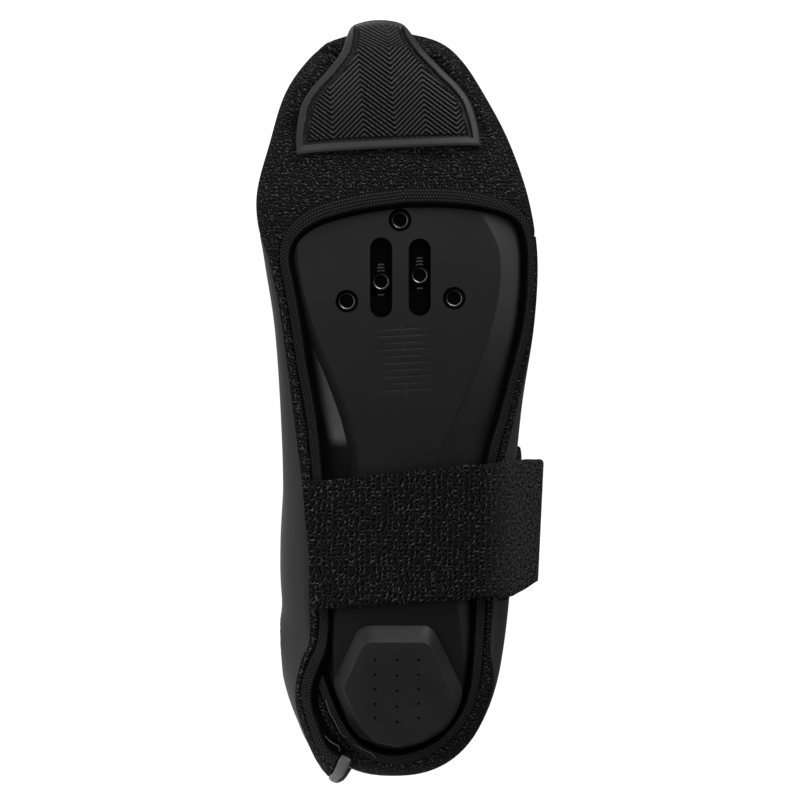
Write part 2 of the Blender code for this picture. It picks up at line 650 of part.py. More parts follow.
def upper_half(line, end_share):
    """Section and share of each point of one half; columns run from the seam up to the instep or collar."""
    columns = len(line.back)
    collar_columns = columns - VAMP_COLUMNS
    low_t, low_share = chart_to_form(line.seam[line.back] + line.out[line.back] * 0.5 * GAP)
    top_start = float(t_at_top(TOE_SEAM[-1].medial_along)) + SEAM_STEP
    top_t = np.concatenate([np.linspace(top_start, 1.0, VAMP_COLUMNS), np.ones(collar_columns)])
    ends = np.linspace(line.side, end_share, collar_columns + 1)[1:]
    top_share = np.concatenate([np.full(VAMP_COLUMNS, line.side), ends])
    rise = np.linspace(0.0, 1.0, UPPER_ROWS)[:, None]
    t = low_t + (top_t - low_t) * rise
    share = low_share + (top_share - low_share) * rise
    # Columns near the toe bend to the seam of the toe panel
    bend = toe_limit(share[:, 0]) + SEAM_STEP - t[:, 0]
    fade = np.clip(1.0 - np.arange(columns) / (VAMP_COLUMNS - 1.0), 0.0, 1.0) ** 2
    return t + bend[:, None] * fade[None, :], share


lateral_t, lateral_share = upper_half(LATERAL, UNDERLAP_SHARE)
medial_t, medial_share = upper_half(MEDIAL, OVERLAP_SHARE)
lateral_columns = lateral_t.shape[1]
medial_columns = medial_t.shape[1]
medial_lift = lap_lift(medial_t, medial_share)
upper_t = np.concatenate([lateral_t.reshape(-1), medial_t.reshape(-1)])
upper_share = np.concatenate([lateral_share.reshape(-1), medial_share.reshape(-1)])
upper_lift = np.concatenate([np.zeros(lateral_t.size), medial_lift.reshape(-1)])
shared = {lateral_t.size + (UPPER_ROWS - 1) * medial_columns + j: (UPPER_ROWS - 1) * lateral_columns + j
          for j in range(VAMP_COLUMNS)}
faces = grid_faces(UPPER_ROWS, lateral_columns)
faces += [tuple(reversed([shared.get(i, i) for i in face]))
          for face in grid_faces(UPPER_ROWS, medial_columns, lateral_t.size)]
kept = sorted({i for face in faces for i in face})
place_of = {old: new for new, old in enumerate(kept)}
faces = [tuple(place_of[i] for i in face) for face in faces]
upper_t, upper_share, upper_lift = upper_t[kept], upper_share[kept], upper_lift[kept]
thick_piece("upper", on_form(upper_t, upper_share, upper_lift),
            on_form(upper_t, upper_share, upper_lift - WALL), faces, COATED)

# Grey tape folded over the free edge of the closure, from the binding up to the collar
TapePoint = namedtuple("TapePoint", "out lift")
TAPE_PROFILE = [
    TapePoint(TAPE_GAP, TAPE_SWELL),
    TapePoint(TAPE_GAP + TAPE_WIDTH * 0.7, TAPE_SWELL),
    TapePoint(TAPE_GAP + TAPE_WIDTH, -0.5 * WALL),
    TapePoint(TAPE_GAP + TAPE_WIDTH * 0.7, -WALL - 0.1),
    TapePoint(TAPE_GAP, -WALL - 0.1),
]
strip_outs = np.linspace(TAPE_LOW_OUT, MEDIAL.curve[-1, 2], 5)[:-1, None]
strip_end = MEDIAL.curve[-1, :2] + MEDIAL.out[-1] * strip_outs
wall_end = np.stack([np.interp(medial_t[:, -1], BACK_T, BACK_RUN),
                     medial_share[:, -1] * girth_at(medial_t[:, -1])], axis=1)
tape_path = spline_through(np.vstack([strip_end, wall_end]), TAPE_STEPS)
tape_out = outward(tape_path, 1.0)
tape_rings = []
for point in TAPE_PROFILE:
    t, share = chart_to_form(tape_path + tape_out * point.out)
    tape_rings.append(on_form(t, share, lap_lift(t, share) + point.lift))
sweep_piece("closure_tape", np.stack(tape_rings, axis=1), GREY)


# Toe guard

def toe_plane(reach, across):
    """Section and share under a place of the tilted toe plane, by Newton steps from the sole line."""
    t = t_at_along(np.minimum(reach / math.cos(GUARD_TILT) * 0.985, 279.0))
    centre = np.interp(t, SOLE_T, SOLE_CENTRE)
    share = (across - centre) / girth_at(t)
    direction = np.array([math.cos(GUARD_TILT), 0.0, math.sin(GUARD_TILT)])
    for _ in range(30):
        here = point_on(t, share)
        miss = np.stack([reach - here @ direction, across - here[..., 1]], axis=-1)
        by_t = (point_on(t + 1e-4, share) - here) / 1e-4
        by_share = (point_on(t, share + 1e-4) - here) / 1e-4
        a, b = by_t @ direction, by_share @ direction
        c, d = by_t[..., 1], by_share[..., 1]
        det = a * d - b * c
        det = np.where(np.abs(det) < 1e-3, 1e-3, det)
        t = np.clip(t + np.clip((d * miss[..., 0] - b * miss[..., 1]) / det, -0.02, 0.02), 0.003, 0.5)
        share = share + np.clip((a * miss[..., 1] - c * miss[..., 0]) / det, -0.06, 0.06)
    return t, share


guard_rows = np.array(GUARD_ROWS)
guard_end = guard_rows[-1, 0]
reaches = np.concatenate([[0.0, GUARD_RIM, GUARD_RIM + 0.7], np.linspace(9.0, 37.0, 6),
                          np.linspace(40.0, 51.0, 5), [guard_end - GUARD_RIM * 0.5, guard_end]])
guard_centre = np.interp(reaches, guard_rows[:, 0], guard_rows[:, 1])
guard_half = np.interp(reaches, guard_rows[:, 0], guard_rows[:, 2])
guard_across = []
for centre, half in zip(guard_centre, guard_half):
    inner = half - GUARD_RIM - 0.7
    middle = np.linspace(-inner, inner, GUARD_COLUMNS - 4)
    row = np.concatenate([[-half, -half + GUARD_RIM], middle, [half - GUARD_RIM, half]])
    guard_across.append(centre + row)
guard_across = np.array(guard_across)
guard_lean = GUARD_SLANT * np.clip(1.0 - reaches / GUARD_SLANT_RUN, 0.0, 1.0) / guard_half
guard_reach = GUARD_REAR + reaches[:, None] + guard_lean[:, None] * (guard_across - guard_centre[:, None])
guard_t, guard_share = toe_plane(guard_reach.reshape(-1), guard_across.reshape(-1))
height = np.full(guard_across.shape, GUARD_RIM_HEIGHT)
height[2:-2, 2:-2] = GUARD_FIELD_HEIGHT
thick_piece("toe_guard", on_form(guard_t, guard_share, GUARD_LIFT + height.reshape(-1)),
            on_form(guard_t, guard_share, np.full(height.size, GUARD_LIFT)),
            grid_faces(*guard_across.shape), RUBBER)


# Sole plate and insole: rows across the shoe with a flat face and two sides that rise to the wall

def wall_point(along, side, girth):
    """Point just inside the wall, a girth away from the sole line."""
    t = t_at_along(along)
    return on_form(t, side * girth / girth_at(t), -WALL - WALL_CLEAR)


def side_wall(row, side, edge):
    """Where a side of the sole meets the wall."""
    t = t_at_along(row.along)
    values = section_at(t)
    centre = 0.5 * float(values[4] + values[5])
    half = 0.5 * float(values[5] - values[4])
    away = abs(edge - centre)
    span = SIDE_REACH * min(1.0, max(0.12, (row.along - HEEL_REACH_START) / HEEL_REACH_RUN))
    return wall_point(row.along, side, max(away + 3.0, min(half + 1.0, away + span)))


def sole_row(row, full_reach):
    """Points of one row of the sole's underside, medial to lateral, and the height of its roof there."""
    flat = np.linspace(row.medial, row.lateral, PLATE_FLAT_COLUMNS)
    points = np.column_stack([np.full(len(flat), row.along), flat, np.full(len(flat), row.up)])
    steps = np.linspace(0.0, 1.0, PLATE_SIDE_COLUMNS + 1)[1:, None]
    sides = []
    roofs = []
    for side, edge, reach in ((-1.0, row.medial, row.reach_medial), (1.0, row.lateral, row.reach_lateral)):
        wall = side_wall(row, side, edge)
        bevel = np.array([row.along, edge + side * BEVEL_OUT, row.up + BEVEL_UP])
        tip = wall if full_reach else bevel + (wall - bevel) * reach
        run = points[0 if side < 0 else -1] * (1.0 - steps) + tip * steps
        share = (run[:, 1] - edge) / (wall[1] - edge)
        sides.append(run)
        roofs.append(row.up + share * (wall[2] - row.up))
    roof = np.concatenate([roofs[0][::-1], np.full(PLATE_FLAT_COLUMNS, row.up), roofs[1]])
    return np.vstack([sides[0][::-1], points, sides[1]]), roof


def layer_piece(name, full_reach, low, thick, material):
    """Closed layer of the sole: its underside raised by low, its roof thick above the full sole surface."""
    rows = [sole_row(row, full_reach) for row in PLATE_ROWS]
    under = np.vstack([points for points, _ in rows]) + np.array([0.0, 0.0, low])
    over = under.copy()
    over[:, 2] = np.concatenate([roof for _, roof in rows]) + low + thick
    columns = PLATE_FLAT_COLUMNS + 2 * PLATE_SIDE_COLUMNS
    return thick_piece(name, over, under, grid_faces(len(rows), columns), material)


plate = layer_piece("sole_plate", False, 0.0, PLATE_THICK, PLATE)
layer_piece("insole", True, PLATE_THICK + INSOLE_GAP, INSOLE_THICK, FELT)


def prism(name, outline, low, high):
    """Upright prism used to cut the plate."""
    count = len(outline)
    points = [(a, b, low) for a, b in outline] + [(a, b, high) for a, b in outline]
    sides = [(i, (i + 1) % count, count + (i + 1) % count, count + i) for i in range(count)]
    sides += [tuple(reversed(range(count))), tuple(range(count, 2 * count))]
    cutter = add_piece(name, points, sides, PLATE)
    PIECES.remove(cutter)
    cutter.hide_render = True
    cutter.display_type = "WIRE"
    return cutter


def circle(along, across, radius, steps):
    angles = np.linspace(0.0, 2.0 * math.pi, steps, endpoint=False)
    return [(along + radius * math.cos(a), across + radius * math.sin(a)) for a in angles]


def stadium(rear, front, across, width, steps):
    """Round-ended slot outline."""
    radius = 0.5 * width
    ends = []
    for centre, start in ((front - radius, -0.5 * math.pi), (rear + radius, 0.5 * math.pi)):
        angles = start + np.linspace(0.0, math.pi, steps)
        ends += [(centre + radius * math.cos(a), across + radius * math.sin(a)) for a in angles]
    return ends


PLATE_UNDER = PLATE_ROWS[6].up
cutters = []
for bolt in BOLTS:
    outline = circle(bolt.along, bolt.across, BOLT_HOLE_RADIUS, 20)
    cutters.append(prism(bolt.name + "_hole", outline, -2.0, 30.0))
for slot in SLOTS:
    outline = stadium(slot.rear, slot.front, slot.across, SLOT_WIDTH, 9)
    cutters.append(prism(slot.name + "_slot", outline, -2.0, 30.0))
for cutter in cutters:
    cut = plate.modifiers.new(cutter.name, "BOOLEAN")
    cut.operation = "DIFFERENCE"
    cut.solver = "EXACT"
    cut.object = cutter


def ring_piece(name, along, across, low, high, radius, bore, steps):
    """Round nut with a bore."""
    rings = []
    for r, z in ((radius, low), (bore, low), (bore, high), (radius, high)):
        rings.append([(a, b, z) for a, b in circle(along, across, r, steps)])
    points = [p for ring in rings for p in ring]
    faces = [(k * steps + j, k * steps + (j + 1) % steps,
              ((k + 1) % 4) * steps + (j + 1) % steps, ((k + 1) % 4) * steps + j)
             for k in range(4) for j in range(steps)]
    return add_piece(name, points, faces, METAL)


for bolt in BOLTS:
    ring_piece(bolt.name, bolt.along, bolt.across, PLATE_UNDER + INSERT_SUNK, PLATE_UNDER + PLATE_THICK - 0.2,
               INSERT_RADIUS, INSERT_BORE, 16)
for slot in SLOTS:
    ring_piece(slot.name, slot.nut_along, slot.across, PLATE_UNDER + NUT_SUNK,
               PLATE_UNDER + PLATE_THICK - 0.2, NUT_RADIUS, NUT_BORE, 16)


# Heel pad

def pad_ring(share, up):
    """Ring of the pad at a height: a share of the way from its foot to its flat face."""
    corners = np.array(PAD_OUTLINE)
    flat = corners[:, :2] + (corners[:, 2:] - corners[:, :2]) * share
    return np.column_stack([flat, np.full(len(flat), up)])


pad_top = PLATE_ROWS[15].up - GAP
pad_rings = np.array([pad_ring(0.0, pad_top), pad_ring(0.0, pad_top - PAD_FOOT),
                      pad_ring(1.0 - PAD_EDGE, PAD_FACE_UP + PAD_EDGE_UP), pad_ring(1.0, PAD_FACE_UP)])
pad = sweep_piece("heel_pad", pad_rings, RUBBER)


# Arch strap, tab and landing patch

def strap_edges(across):
    """Front and rear edges of the strap at a place across the shoe."""
    share = (np.asarray(across) - STRAP_PATH[0].across) / (STRAP_PATH[-1].across - STRAP_PATH[0].across)
    front = STRAP_FRONT_MEDIAL + (STRAP_FRONT_LATERAL - STRAP_FRONT_MEDIAL) * share
    rear = STRAP_REAR_MEDIAL + (STRAP_REAR_LATERAL - STRAP_REAR_MEDIAL) * share
    return front, rear


def strap_piece(name, path, thick, steps, start_cut, end_cut, rear_rise, material):
    """Flat webbing along a path across the shoe, its ends cut at a slant that shortens its rear edge."""
    line = spline_through(path, FINE)
    tangent = np.gradient(line, axis=0)
    tangent /= np.linalg.norm(tangent, axis=1, keepdims=True)
    share = np.linspace(0.0, 1.0, STRAP_COLUMNS + 1)[None, :]
    run = np.linspace(0.0, 1.0, steps)[:, None]
    place = start_cut * (1.0 - share) + run * (1.0 - (start_cut + end_cut) * (1.0 - share))
    across, up, slope_across, slope_up = (np.interp(place, np.linspace(0.0, 1.0, FINE), values)
                                          for values in (*line.T, *tangent.T))
    front, rear = strap_edges(across)
    rear = rear + rear_rise * (across - path[0].across)
    along = rear + (front - rear) * share
    skins = [np.stack([along, across + slope_up * drop, up - slope_across * drop], axis=-1).reshape(-1, 3)
             for drop in (0.0, thick)]
    return thick_piece(name, skins[1], skins[0], grid_faces(steps, STRAP_COLUMNS + 1), material)


strap_piece("strap", STRAP_PATH, STRAP_THICK, STRAP_STEPS, STRAP_MEDIAL_CUT, 0.0, 0.0, KNIT)
strap_piece("strap_tab", TAB_PATH, TAB_THICK, 8, 0.0, TAB_LATERAL_CUT, TAB_REAR_RISE, KNIT)

patch_t = np.linspace(float(t_at_along(PATCH_FRONT_ALONG)), float(t_at_along(PATCH_REAR_ALONG)), PATCH_STEPS)
patch_girth = np.linspace(PATCH_LOW_GIRTH, PATCH_TOP_GIRTH, PATCH_STEPS)
patch_grid_t, patch_grid_girth = np.meshgrid(patch_t, patch_girth, indexing="ij")
corner = 0.12
u = np.linspace(-1.0, 1.0, PATCH_STEPS)
squeeze = 1.0 - corner * np.abs(u) ** 6
middle_t, middle_girth = 0.5 * (patch_t[0] + patch_t[-1]), 0.5 * (PATCH_LOW_GIRTH + PATCH_TOP_GIRTH)
patch_grid_t = middle_t + (patch_grid_t - middle_t) * squeeze[None, :]
patch_grid_girth = middle_girth + (patch_grid_girth - middle_girth) * squeeze[:, None]
patch_flat_t = patch_grid_t.reshape(-1)
patch_flat_share = patch_grid_girth.reshape(-1) / girth_at(patch_flat_t)
patch_lift = np.full(patch_flat_t.size, GAP)
thick_piece("strap_patch", on_form(patch_flat_t, patch_flat_share, patch_lift + PATCH_THICK),
            on_form(patch_flat_t, patch_flat_share, patch_lift),
            grid_faces(PATCH_STEPS, PATCH_STEPS), KNIT)


# Rest on the medial side: the plane that touches the ball, the heel and the collar

def rest_turn(points):
    """Turn that lays the plane touching ball, heel and collar flat, toe to -X and lateral side up."""
    regions = [points[(points[:, 0] > 150) & (points[:, 2] < 60)],
               points[(points[:, 0] < 130) & (points[:, 2] < 70)],
               points[points[:, 2] > 150]]
    down = np.array([0.0, -1.0, 0.0])
    for _ in range(20):
        a, b, c = (region[np.argmax(region @ down)] for region in regions)
        down = np.cross(b - a, c - a)
        down /= np.linalg.norm(down)
        down *= -np.sign(down[1])
    toe = np.array([1.0, 0.0, 0.0]) - down * down[0]
    toe /= np.linalg.norm(toe)
    dorsal = np.cross(toe, -down)
    return np.array([-toe, dorsal, -down])


points = np.vstack([[tuple(v.co / MM) for v in piece.data.vertices] for piece in PIECES])
turn = rest_turn(points)
laid = points @ turn.T
middle = 0.5 * (laid.min(axis=0) + laid.max(axis=0))
shift = np.array([-middle[0], -middle[1], -laid[:, 2].min()]) * MM
lay = bpy.data.objects.new("overshoe", None)
bpy.context.collection.objects.link(lay)
lay.matrix_world = Matrix.Translation(Vector(shift)) @ Matrix([list(map(float, row)) for row in turn]).to_4x4()
for piece in PIECES + cutters:
    piece.parent = lay
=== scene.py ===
import json
import math
from collections import namedtuple

import bmesh
import bpy
import numpy as np
from mathutils import Matrix


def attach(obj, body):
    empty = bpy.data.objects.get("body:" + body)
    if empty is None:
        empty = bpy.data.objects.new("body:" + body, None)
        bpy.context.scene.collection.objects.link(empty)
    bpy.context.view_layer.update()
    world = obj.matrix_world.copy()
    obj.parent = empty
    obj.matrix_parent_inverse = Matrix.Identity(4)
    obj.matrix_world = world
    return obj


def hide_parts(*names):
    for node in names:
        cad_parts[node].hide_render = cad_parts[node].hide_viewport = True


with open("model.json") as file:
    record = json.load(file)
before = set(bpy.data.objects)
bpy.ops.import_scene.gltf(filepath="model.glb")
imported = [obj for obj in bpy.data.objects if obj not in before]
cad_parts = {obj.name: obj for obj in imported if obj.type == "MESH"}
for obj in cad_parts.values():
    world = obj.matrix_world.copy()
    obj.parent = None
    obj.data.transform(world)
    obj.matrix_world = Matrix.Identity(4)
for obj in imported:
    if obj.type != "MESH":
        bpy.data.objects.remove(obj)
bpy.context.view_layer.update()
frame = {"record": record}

# Stage: the shoe lies on its medial side on a pale floor, and a long lens looks square at its sole, rolled
# so that the toe is at the top of the picture. The shoe's own frame is in millimetres: along runs from heel
# to toe, across is positive to the lateral side and up to the collar; the two mounts fix its place.
MM = 0.001
CLEAT_FACE = np.array([188.0, 0.1, 4.2])
HEEL_FACE = np.array([36.2, -1.0, 0.0])
VIEW_CENTRE = np.array([142.3, 0.0, 25.0])
VIEW_DISTANCE = 6.0
VIEW_WIDTH = 0.302
FLOOR_HALF = 40.0
FLOOR_WHITE = 1.03
FLOOR_GLOW = 0.5
FLOOR_GLOW_AHEAD = 0.05
FLOOR_GLOW_HEEL = 1.5
GLOW_SPAN_AHEAD = (-0.34, -0.11)
GLOW_SPAN_HEEL = (0.0, 0.14)
FLOOR_TONE = (0.43, 0.45)
ROOM_LIGHT = 0.15
SENSOR_WIDTH = 36.0
VIEW_END = 120.0
WHITE = (1.0, 1.0, 1.0, 1.0)


def unit(vectors):
    """Vectors scaled to a length of one."""
    return vectors / np.linalg.norm(vectors, axis=-1, keepdims=True)


mounts = {mount["name"]: mount for mount in frame["record"]["mounts"]}
cleat_place = np.array(mounts["cleat_face"]["pos_m"])
shoe_up = -np.array(mounts["cleat_face"]["axis"])
shoe_line = cleat_place - np.array(mounts["heel_pad_face"]["pos_m"])
shoe_line = unit(shoe_line - shoe_up * (shoe_line @ shoe_up))
skew = math.atan2(CLEAT_FACE[1] - HEEL_FACE[1], CLEAT_FACE[0] - HEEL_FACE[0])
shoe_along = math.cos(skew) * shoe_line - math.sin(skew) * np.cross(shoe_up, shoe_line)
shoe_across = np.cross(shoe_up, shoe_along)
SHOE_AXES = np.array([shoe_along, shoe_across, shoe_up])
SHOE_ORIGIN = cleat_place - (CLEAT_FACE * MM) @ SHOE_AXES


def to_row(points):
    """Shoe millimetres to the row frame: the origin plus each value times its axis."""
    return SHOE_ORIGIN + (np.asarray(points, dtype=float) * MM) @ SHOE_AXES


def add_node(tree, kind, inputs=(), **settings):
    """One shader node: settings are its properties, and inputs fill its sockets by number or name."""
    made = tree.nodes.new(kind)
    for key, value in settings.items():
        setattr(made, key, value)
    for place, value in dict(inputs).items():
        if isinstance(value, bpy.types.NodeSocket):
            tree.links.new(value, made.inputs[place])
        else:
            made.inputs[place].default_value = value
    return made


def work(tree, operation, *values, clamp=False):
    """Result of one Math node."""
    made = add_node(tree, "ShaderNodeMath", enumerate(values), operation=operation, use_clamp=clamp)
    return made.outputs[0]


def object_coords(tree):
    """Place on the piece in its own coordinates, in metres."""
    return add_node(tree, "ShaderNodeTexCoord").outputs["Object"]


def part_of(tree, place, axis):
    """One coordinate of a place: 0, 1 or 2."""
    return add_node(tree, "ShaderNodeSeparateXYZ", {0: place}).outputs[axis]


def link_to(shader, socket, value):
    """Links a value that varies over the surface to one of the shader's sockets."""
    shader.id_data.links.new(value, shader.inputs[socket])


def new_material(name, rough, specular):
    """Material with a Principled shader whose even values are set on its own sockets."""
    material = bpy.data.materials.new(name)
    material.use_nodes = True
    shader = material.node_tree.nodes["Principled BSDF"]
    shader.inputs["Roughness"].default_value = rough
    shader.inputs["Specular IOR Level"].default_value = specular
    return material, material.node_tree, shader


def noise_of(tree, place, scale, detail=2.0, rough=0.5):
    """Noise value about a half, at a scale per unit of the place."""
    inputs = {"Vector": place, "Scale": scale, "Detail": detail, "Roughness": rough}
    return add_node(tree, "ShaderNodeTexNoise", inputs).outputs[0]


def spread(tree, value, low, high, from_low=0.3, from_high=0.7):
    """A value moved from one range to another and held inside it."""
    inputs = {0: value, 1: from_low, 2: from_high, 3: low, 4: high}
    return add_node(tree, "ShaderNodeMapRange", inputs).outputs[0]


def bump_on(tree, shader, height, strength=1.0):
    """Bump from a height in millimetres."""
    bump = add_node(tree, "ShaderNodeBump", {"Height": height, "Distance": MM, "Strength": strength})
    link_to(shader, "Normal", bump.outputs["Normal"])


floor_paint, tree, shader = new_material("floor_paint", 0.9, 0.1)
object_place = object_coords(tree)
link_to(shader, "Base Color", spread(tree, noise_of(tree, object_place, 3.0), *FLOOR_TONE))
shader.inputs["Emission Color"].default_value = WHITE
seen = add_node(tree, "ShaderNodeLightPath").outputs["Is Camera Ray"]
glow = spread(tree, part_of(tree, object_place, 1), FLOOR_GLOW_AHEAD, FLOOR_GLOW, *GLOW_SPAN_AHEAD)
glow_heel = spread(tree, part_of(tree, object_place, 0), 1.0, FLOOR_GLOW_HEEL, *GLOW_SPAN_HEEL)
glow = work(tree, "MULTIPLY", glow, glow_heel)
glow = work(tree, "ADD", work(tree, "MULTIPLY", seen, FLOOR_WHITE),
            work(tree, "MULTIPLY", work(tree, "SUBTRACT", 1.0, seen), glow))
link_to(shader, "Emission Strength", glow)
floor_mesh = bpy.data.meshes.new("floor")
floor_corners = np.array([[-1, -1, 0], [1, -1, 0], [1, 1, 0], [-1, 1, 0]]) * FLOOR_HALF
floor_mesh.from_pydata(floor_corners.tolist(), [], [(0, 1, 2, 3)])
floor_mesh.materials.append(floor_paint)
floor = bpy.data.objects.new("floor", floor_mesh)
bpy.context.collection.objects.link(floor)

room = bpy.data.worlds.new("room")
room.use_nodes = True
room.node_tree.nodes["Background"].inputs["Color"].default_value = WHITE
room.node_tree.nodes["Background"].inputs["Strength"].default_value = ROOM_LIGHT
bpy.context.scene.world = room
bpy.context.scene.view_settings.view_transform = "Standard"


def aim(eye, target, roll_to):
    """Matrix of a camera or lamp at eye, looking at target, with its top towards roll_to."""
    back = unit(eye - target)
    right = unit(np.cross(roll_to, back))
    top = np.cross(back, right)
    rows = np.vstack([np.stack([right, top, back, eye], axis=1), [0.0, 0.0, 0.0, 1.0]])
    return Matrix(rows.tolist())


camera_data = bpy.data.cameras.new("camera")
camera_data.sensor_width = SENSOR_WIDTH
camera_data.lens = SENSOR_WIDTH * VIEW_DISTANCE / VIEW_WIDTH
camera_data.clip_end = VIEW_END
camera = bpy.data.objects.new("camera", camera_data)
view_target = to_row(VIEW_CENTRE)
camera.matrix_world = aim(view_target - shoe_up * VIEW_DISTANCE, view_target, shoe_along)
bpy.context.collection.objects.link(camera)
bpy.context.scene.camera = camera

Lamp = namedtuple("Lamp", "name along across up size power")
LAMPS = [
    Lamp("toe_softbox", 610.0, 220.0, -260.0, 0.4, 1.9),
    Lamp("side_softbox", 200.0, 900.0, -700.0, 0.6, 1.0),
]
for lamp in LAMPS:
    lamp_data = bpy.data.lights.new(lamp.name, "AREA")
    lamp_data.size = lamp.size
    lamp_data.energy = lamp.power
    lamp_object = bpy.data.objects.new(lamp.name, lamp_data)
    lamp_object.matrix_world = aim(to_row([lamp.along, lamp.across, lamp.up]), view_target, shoe_across)
    bpy.context.collection.objects.link(lamp_object)

# Upper: stretch fabric with a smooth rubbery coat outside and a short brushed lining inside, two halves
# sewn along the instep and lapped at the back. It is stretched over the shoe, so its form is a sock drawn
# through sections from the toe tip to the collar; each runs from the sole line to the instep line.
WALL = 2.2
GAP = 0.3
Section = namedtuple("Section", "top_along top_up low_along low_up medial lateral widest low_curve top_curve")
SECTIONS = [
    Section(282.0, 34.0, 282.0, 34.0, -6.8, -6.8, 0.50, 2.2, 2.2),
    Section(281.0, 40.0, 281.0, 28.5, -16.0, 2.4, 0.48, 2.2, 2.2),
    Section(277.5, 47.0, 277.5, 22.5, -26.4, 15.0, 0.46, 2.4, 2.2),
    Section(270.5, 53.0, 270.5, 16.5, -35.0, 23.4, 0.43, 2.8, 2.2),
    Section(258.0, 58.5, 258.0, 10.0, -43.4, 31.6, 0.39, 3.4, 2.2),
    Section(240.0, 63.5, 240.0, 4.4, -49.0, 41.0, 0.35, 4.2, 2.2),
    Section(217.0, 71.0, 218.0, 0.9, -54.2, 48.6, 0.31, 4.8, 2.2),
    Section(192.0, 81.0, 196.0, 0.0, -51.2, 51.8, 0.28, 4.8, 2.2),
    Section(171.0, 94.0, 170.0, 0.8, -47.4, 50.6, 0.26, 4.8, 2.2),
    Section(156.0, 105.0, 136.0, 3.8, -45.2, 46.0, 0.25, 4.6, 2.2),
    Section(145.0, 115.5, 100.0, 6.2, -44.2, 43.2, 0.25, 4.4, 2.2),
    Section(137.5, 126.0, 62.0, 6.2, -45.2, 42.0, 0.25, 4.2, 2.2),
    Section(131.5, 137.0, 27.0, 4.2, -41.6, 38.6, 0.26, 3.6, 2.2),
    Section(126.5, 148.5, 5.6, 8.5, -37.6, 34.4, 0.30, 2.7, 2.2),
    Section(122.0, 160.0, 0.2, 32.0, -37.4, 32.2, 0.36, 2.45, 2.2),
    Section(118.0, 172.0, 3.5, 72.0, -36.8, 32.0, 0.42, 2.3, 2.2),
    Section(115.0, 183.0, 12.0, 118.0, -36.6, 31.0, 0.46, 2.2, 2.2),
    Section(113.0, 194.0, 17.0, 160.0, -36.2, 30.6, 0.50, 2.2, 2.2),
    Section(112.0, 205.0, 18.0, 198.0, -36.2, 30.6, 0.50, 2.2, 2.2),
]
LAST_ROW = len(SECTIONS) - 1
GIRTH_ROWS = 361
GIRTH_STEPS = 720
TIP_T = 0.002
NORMAL_STEPS = (0.0015, 0.004)
TIP_BLEND = 0.01
SPLINE_SPLIT = 40

section_rows = np.array(SECTIONS)
before_toe = section_rows[1][[2, 3, 0, 1, 5, 4, 6, 7, 8]]
before_toe[6] = 1.0 - before_toe[6]
FORM_ROWS = np.vstack([before_toe, section_rows, 2.0 * section_rows[-1] - section_rows[-2]])


def curve_between(a, b, c, d, f):
    """Smooth curve from b to c whose slopes come from the neighbours a and d."""
    square, cube = 2 * a - 5 * b + 4 * c - d, 3 * b - a - 3 * c + d
    return 0.5 * (2 * b + (c - a) * f + square * f ** 2 + cube * f ** 3)


def section_at(t):
    """Section values at t, 0 at the toe tip and 1 at the collar, on a smooth curve through the rows."""
    place = np.asarray(t, dtype=float) * LAST_ROW
    start = np.clip(np.floor(place).astype(int), 0, LAST_ROW - 1)
    return curve_between(*(FORM_ROWS[start + i] for i in range(4)), (place - start)[..., None])


def half_outline(values, angle):
    """Half a section as a superellipse: shares of its half width and height, by angle from the sole line."""
    widest, low_curve, top_curve = values[..., 6], values[..., 7], values[..., 8]
    low = angle <= 0.5 * math.pi
    power = 2.0 / np.where(low, low_curve, top_curve)
    fall = np.abs(np.cos(angle)) ** power
    rise = np.where(low, widest * (1.0 - fall), widest + (1.0 - widest) * fall)
    return np.abs(np.sin(angle)) ** power, rise


def girth_table():
    """Half girth of each section by adding up short chords, and its outline at even shares of that girth."""
    t = np.linspace(0.0, 1.0, GIRTH_ROWS)
    values = section_at(np.maximum(t, TIP_T))[:, None, :]
    quarter = np.linspace(0.0, 1.0, GIRTH_STEPS + 1)
    quarter = 0.5 * math.pi * quarter ** 2 * (3.0 - 2.0 * quarter)
    angle = np.concatenate([quarter, math.pi - quarter[-2::-1]])[None, :]
    out, rise = half_outline(values, angle)
    half = 0.5 * (values[..., 5] - values[..., 4])
    height = np.hypot(values[..., 0] - values[..., 2], values[..., 1] - values[..., 3])
    chord = np.hypot(np.diff(out * half, axis=1), np.diff(rise * height, axis=1))
    run = np.concatenate([np.zeros((GIRTH_ROWS, 1)), np.cumsum(chord, axis=1)], axis=1)
    share = np.linspace(0.0, 1.0, GIRTH_STEPS + 1)
    outline = [np.array([np.interp(share, length / length[-1], row) for length, row in zip(run, table)])
               for table in (out, rise)]
    return t, run[:, -1], outline


GIRTH_T, HALF_GIRTH, GIRTH_OUTLINE = girth_table()


def girth_at(t):
    """Half girth of the section at t."""
    return np.interp(t, GIRTH_T, HALF_GIRTH)


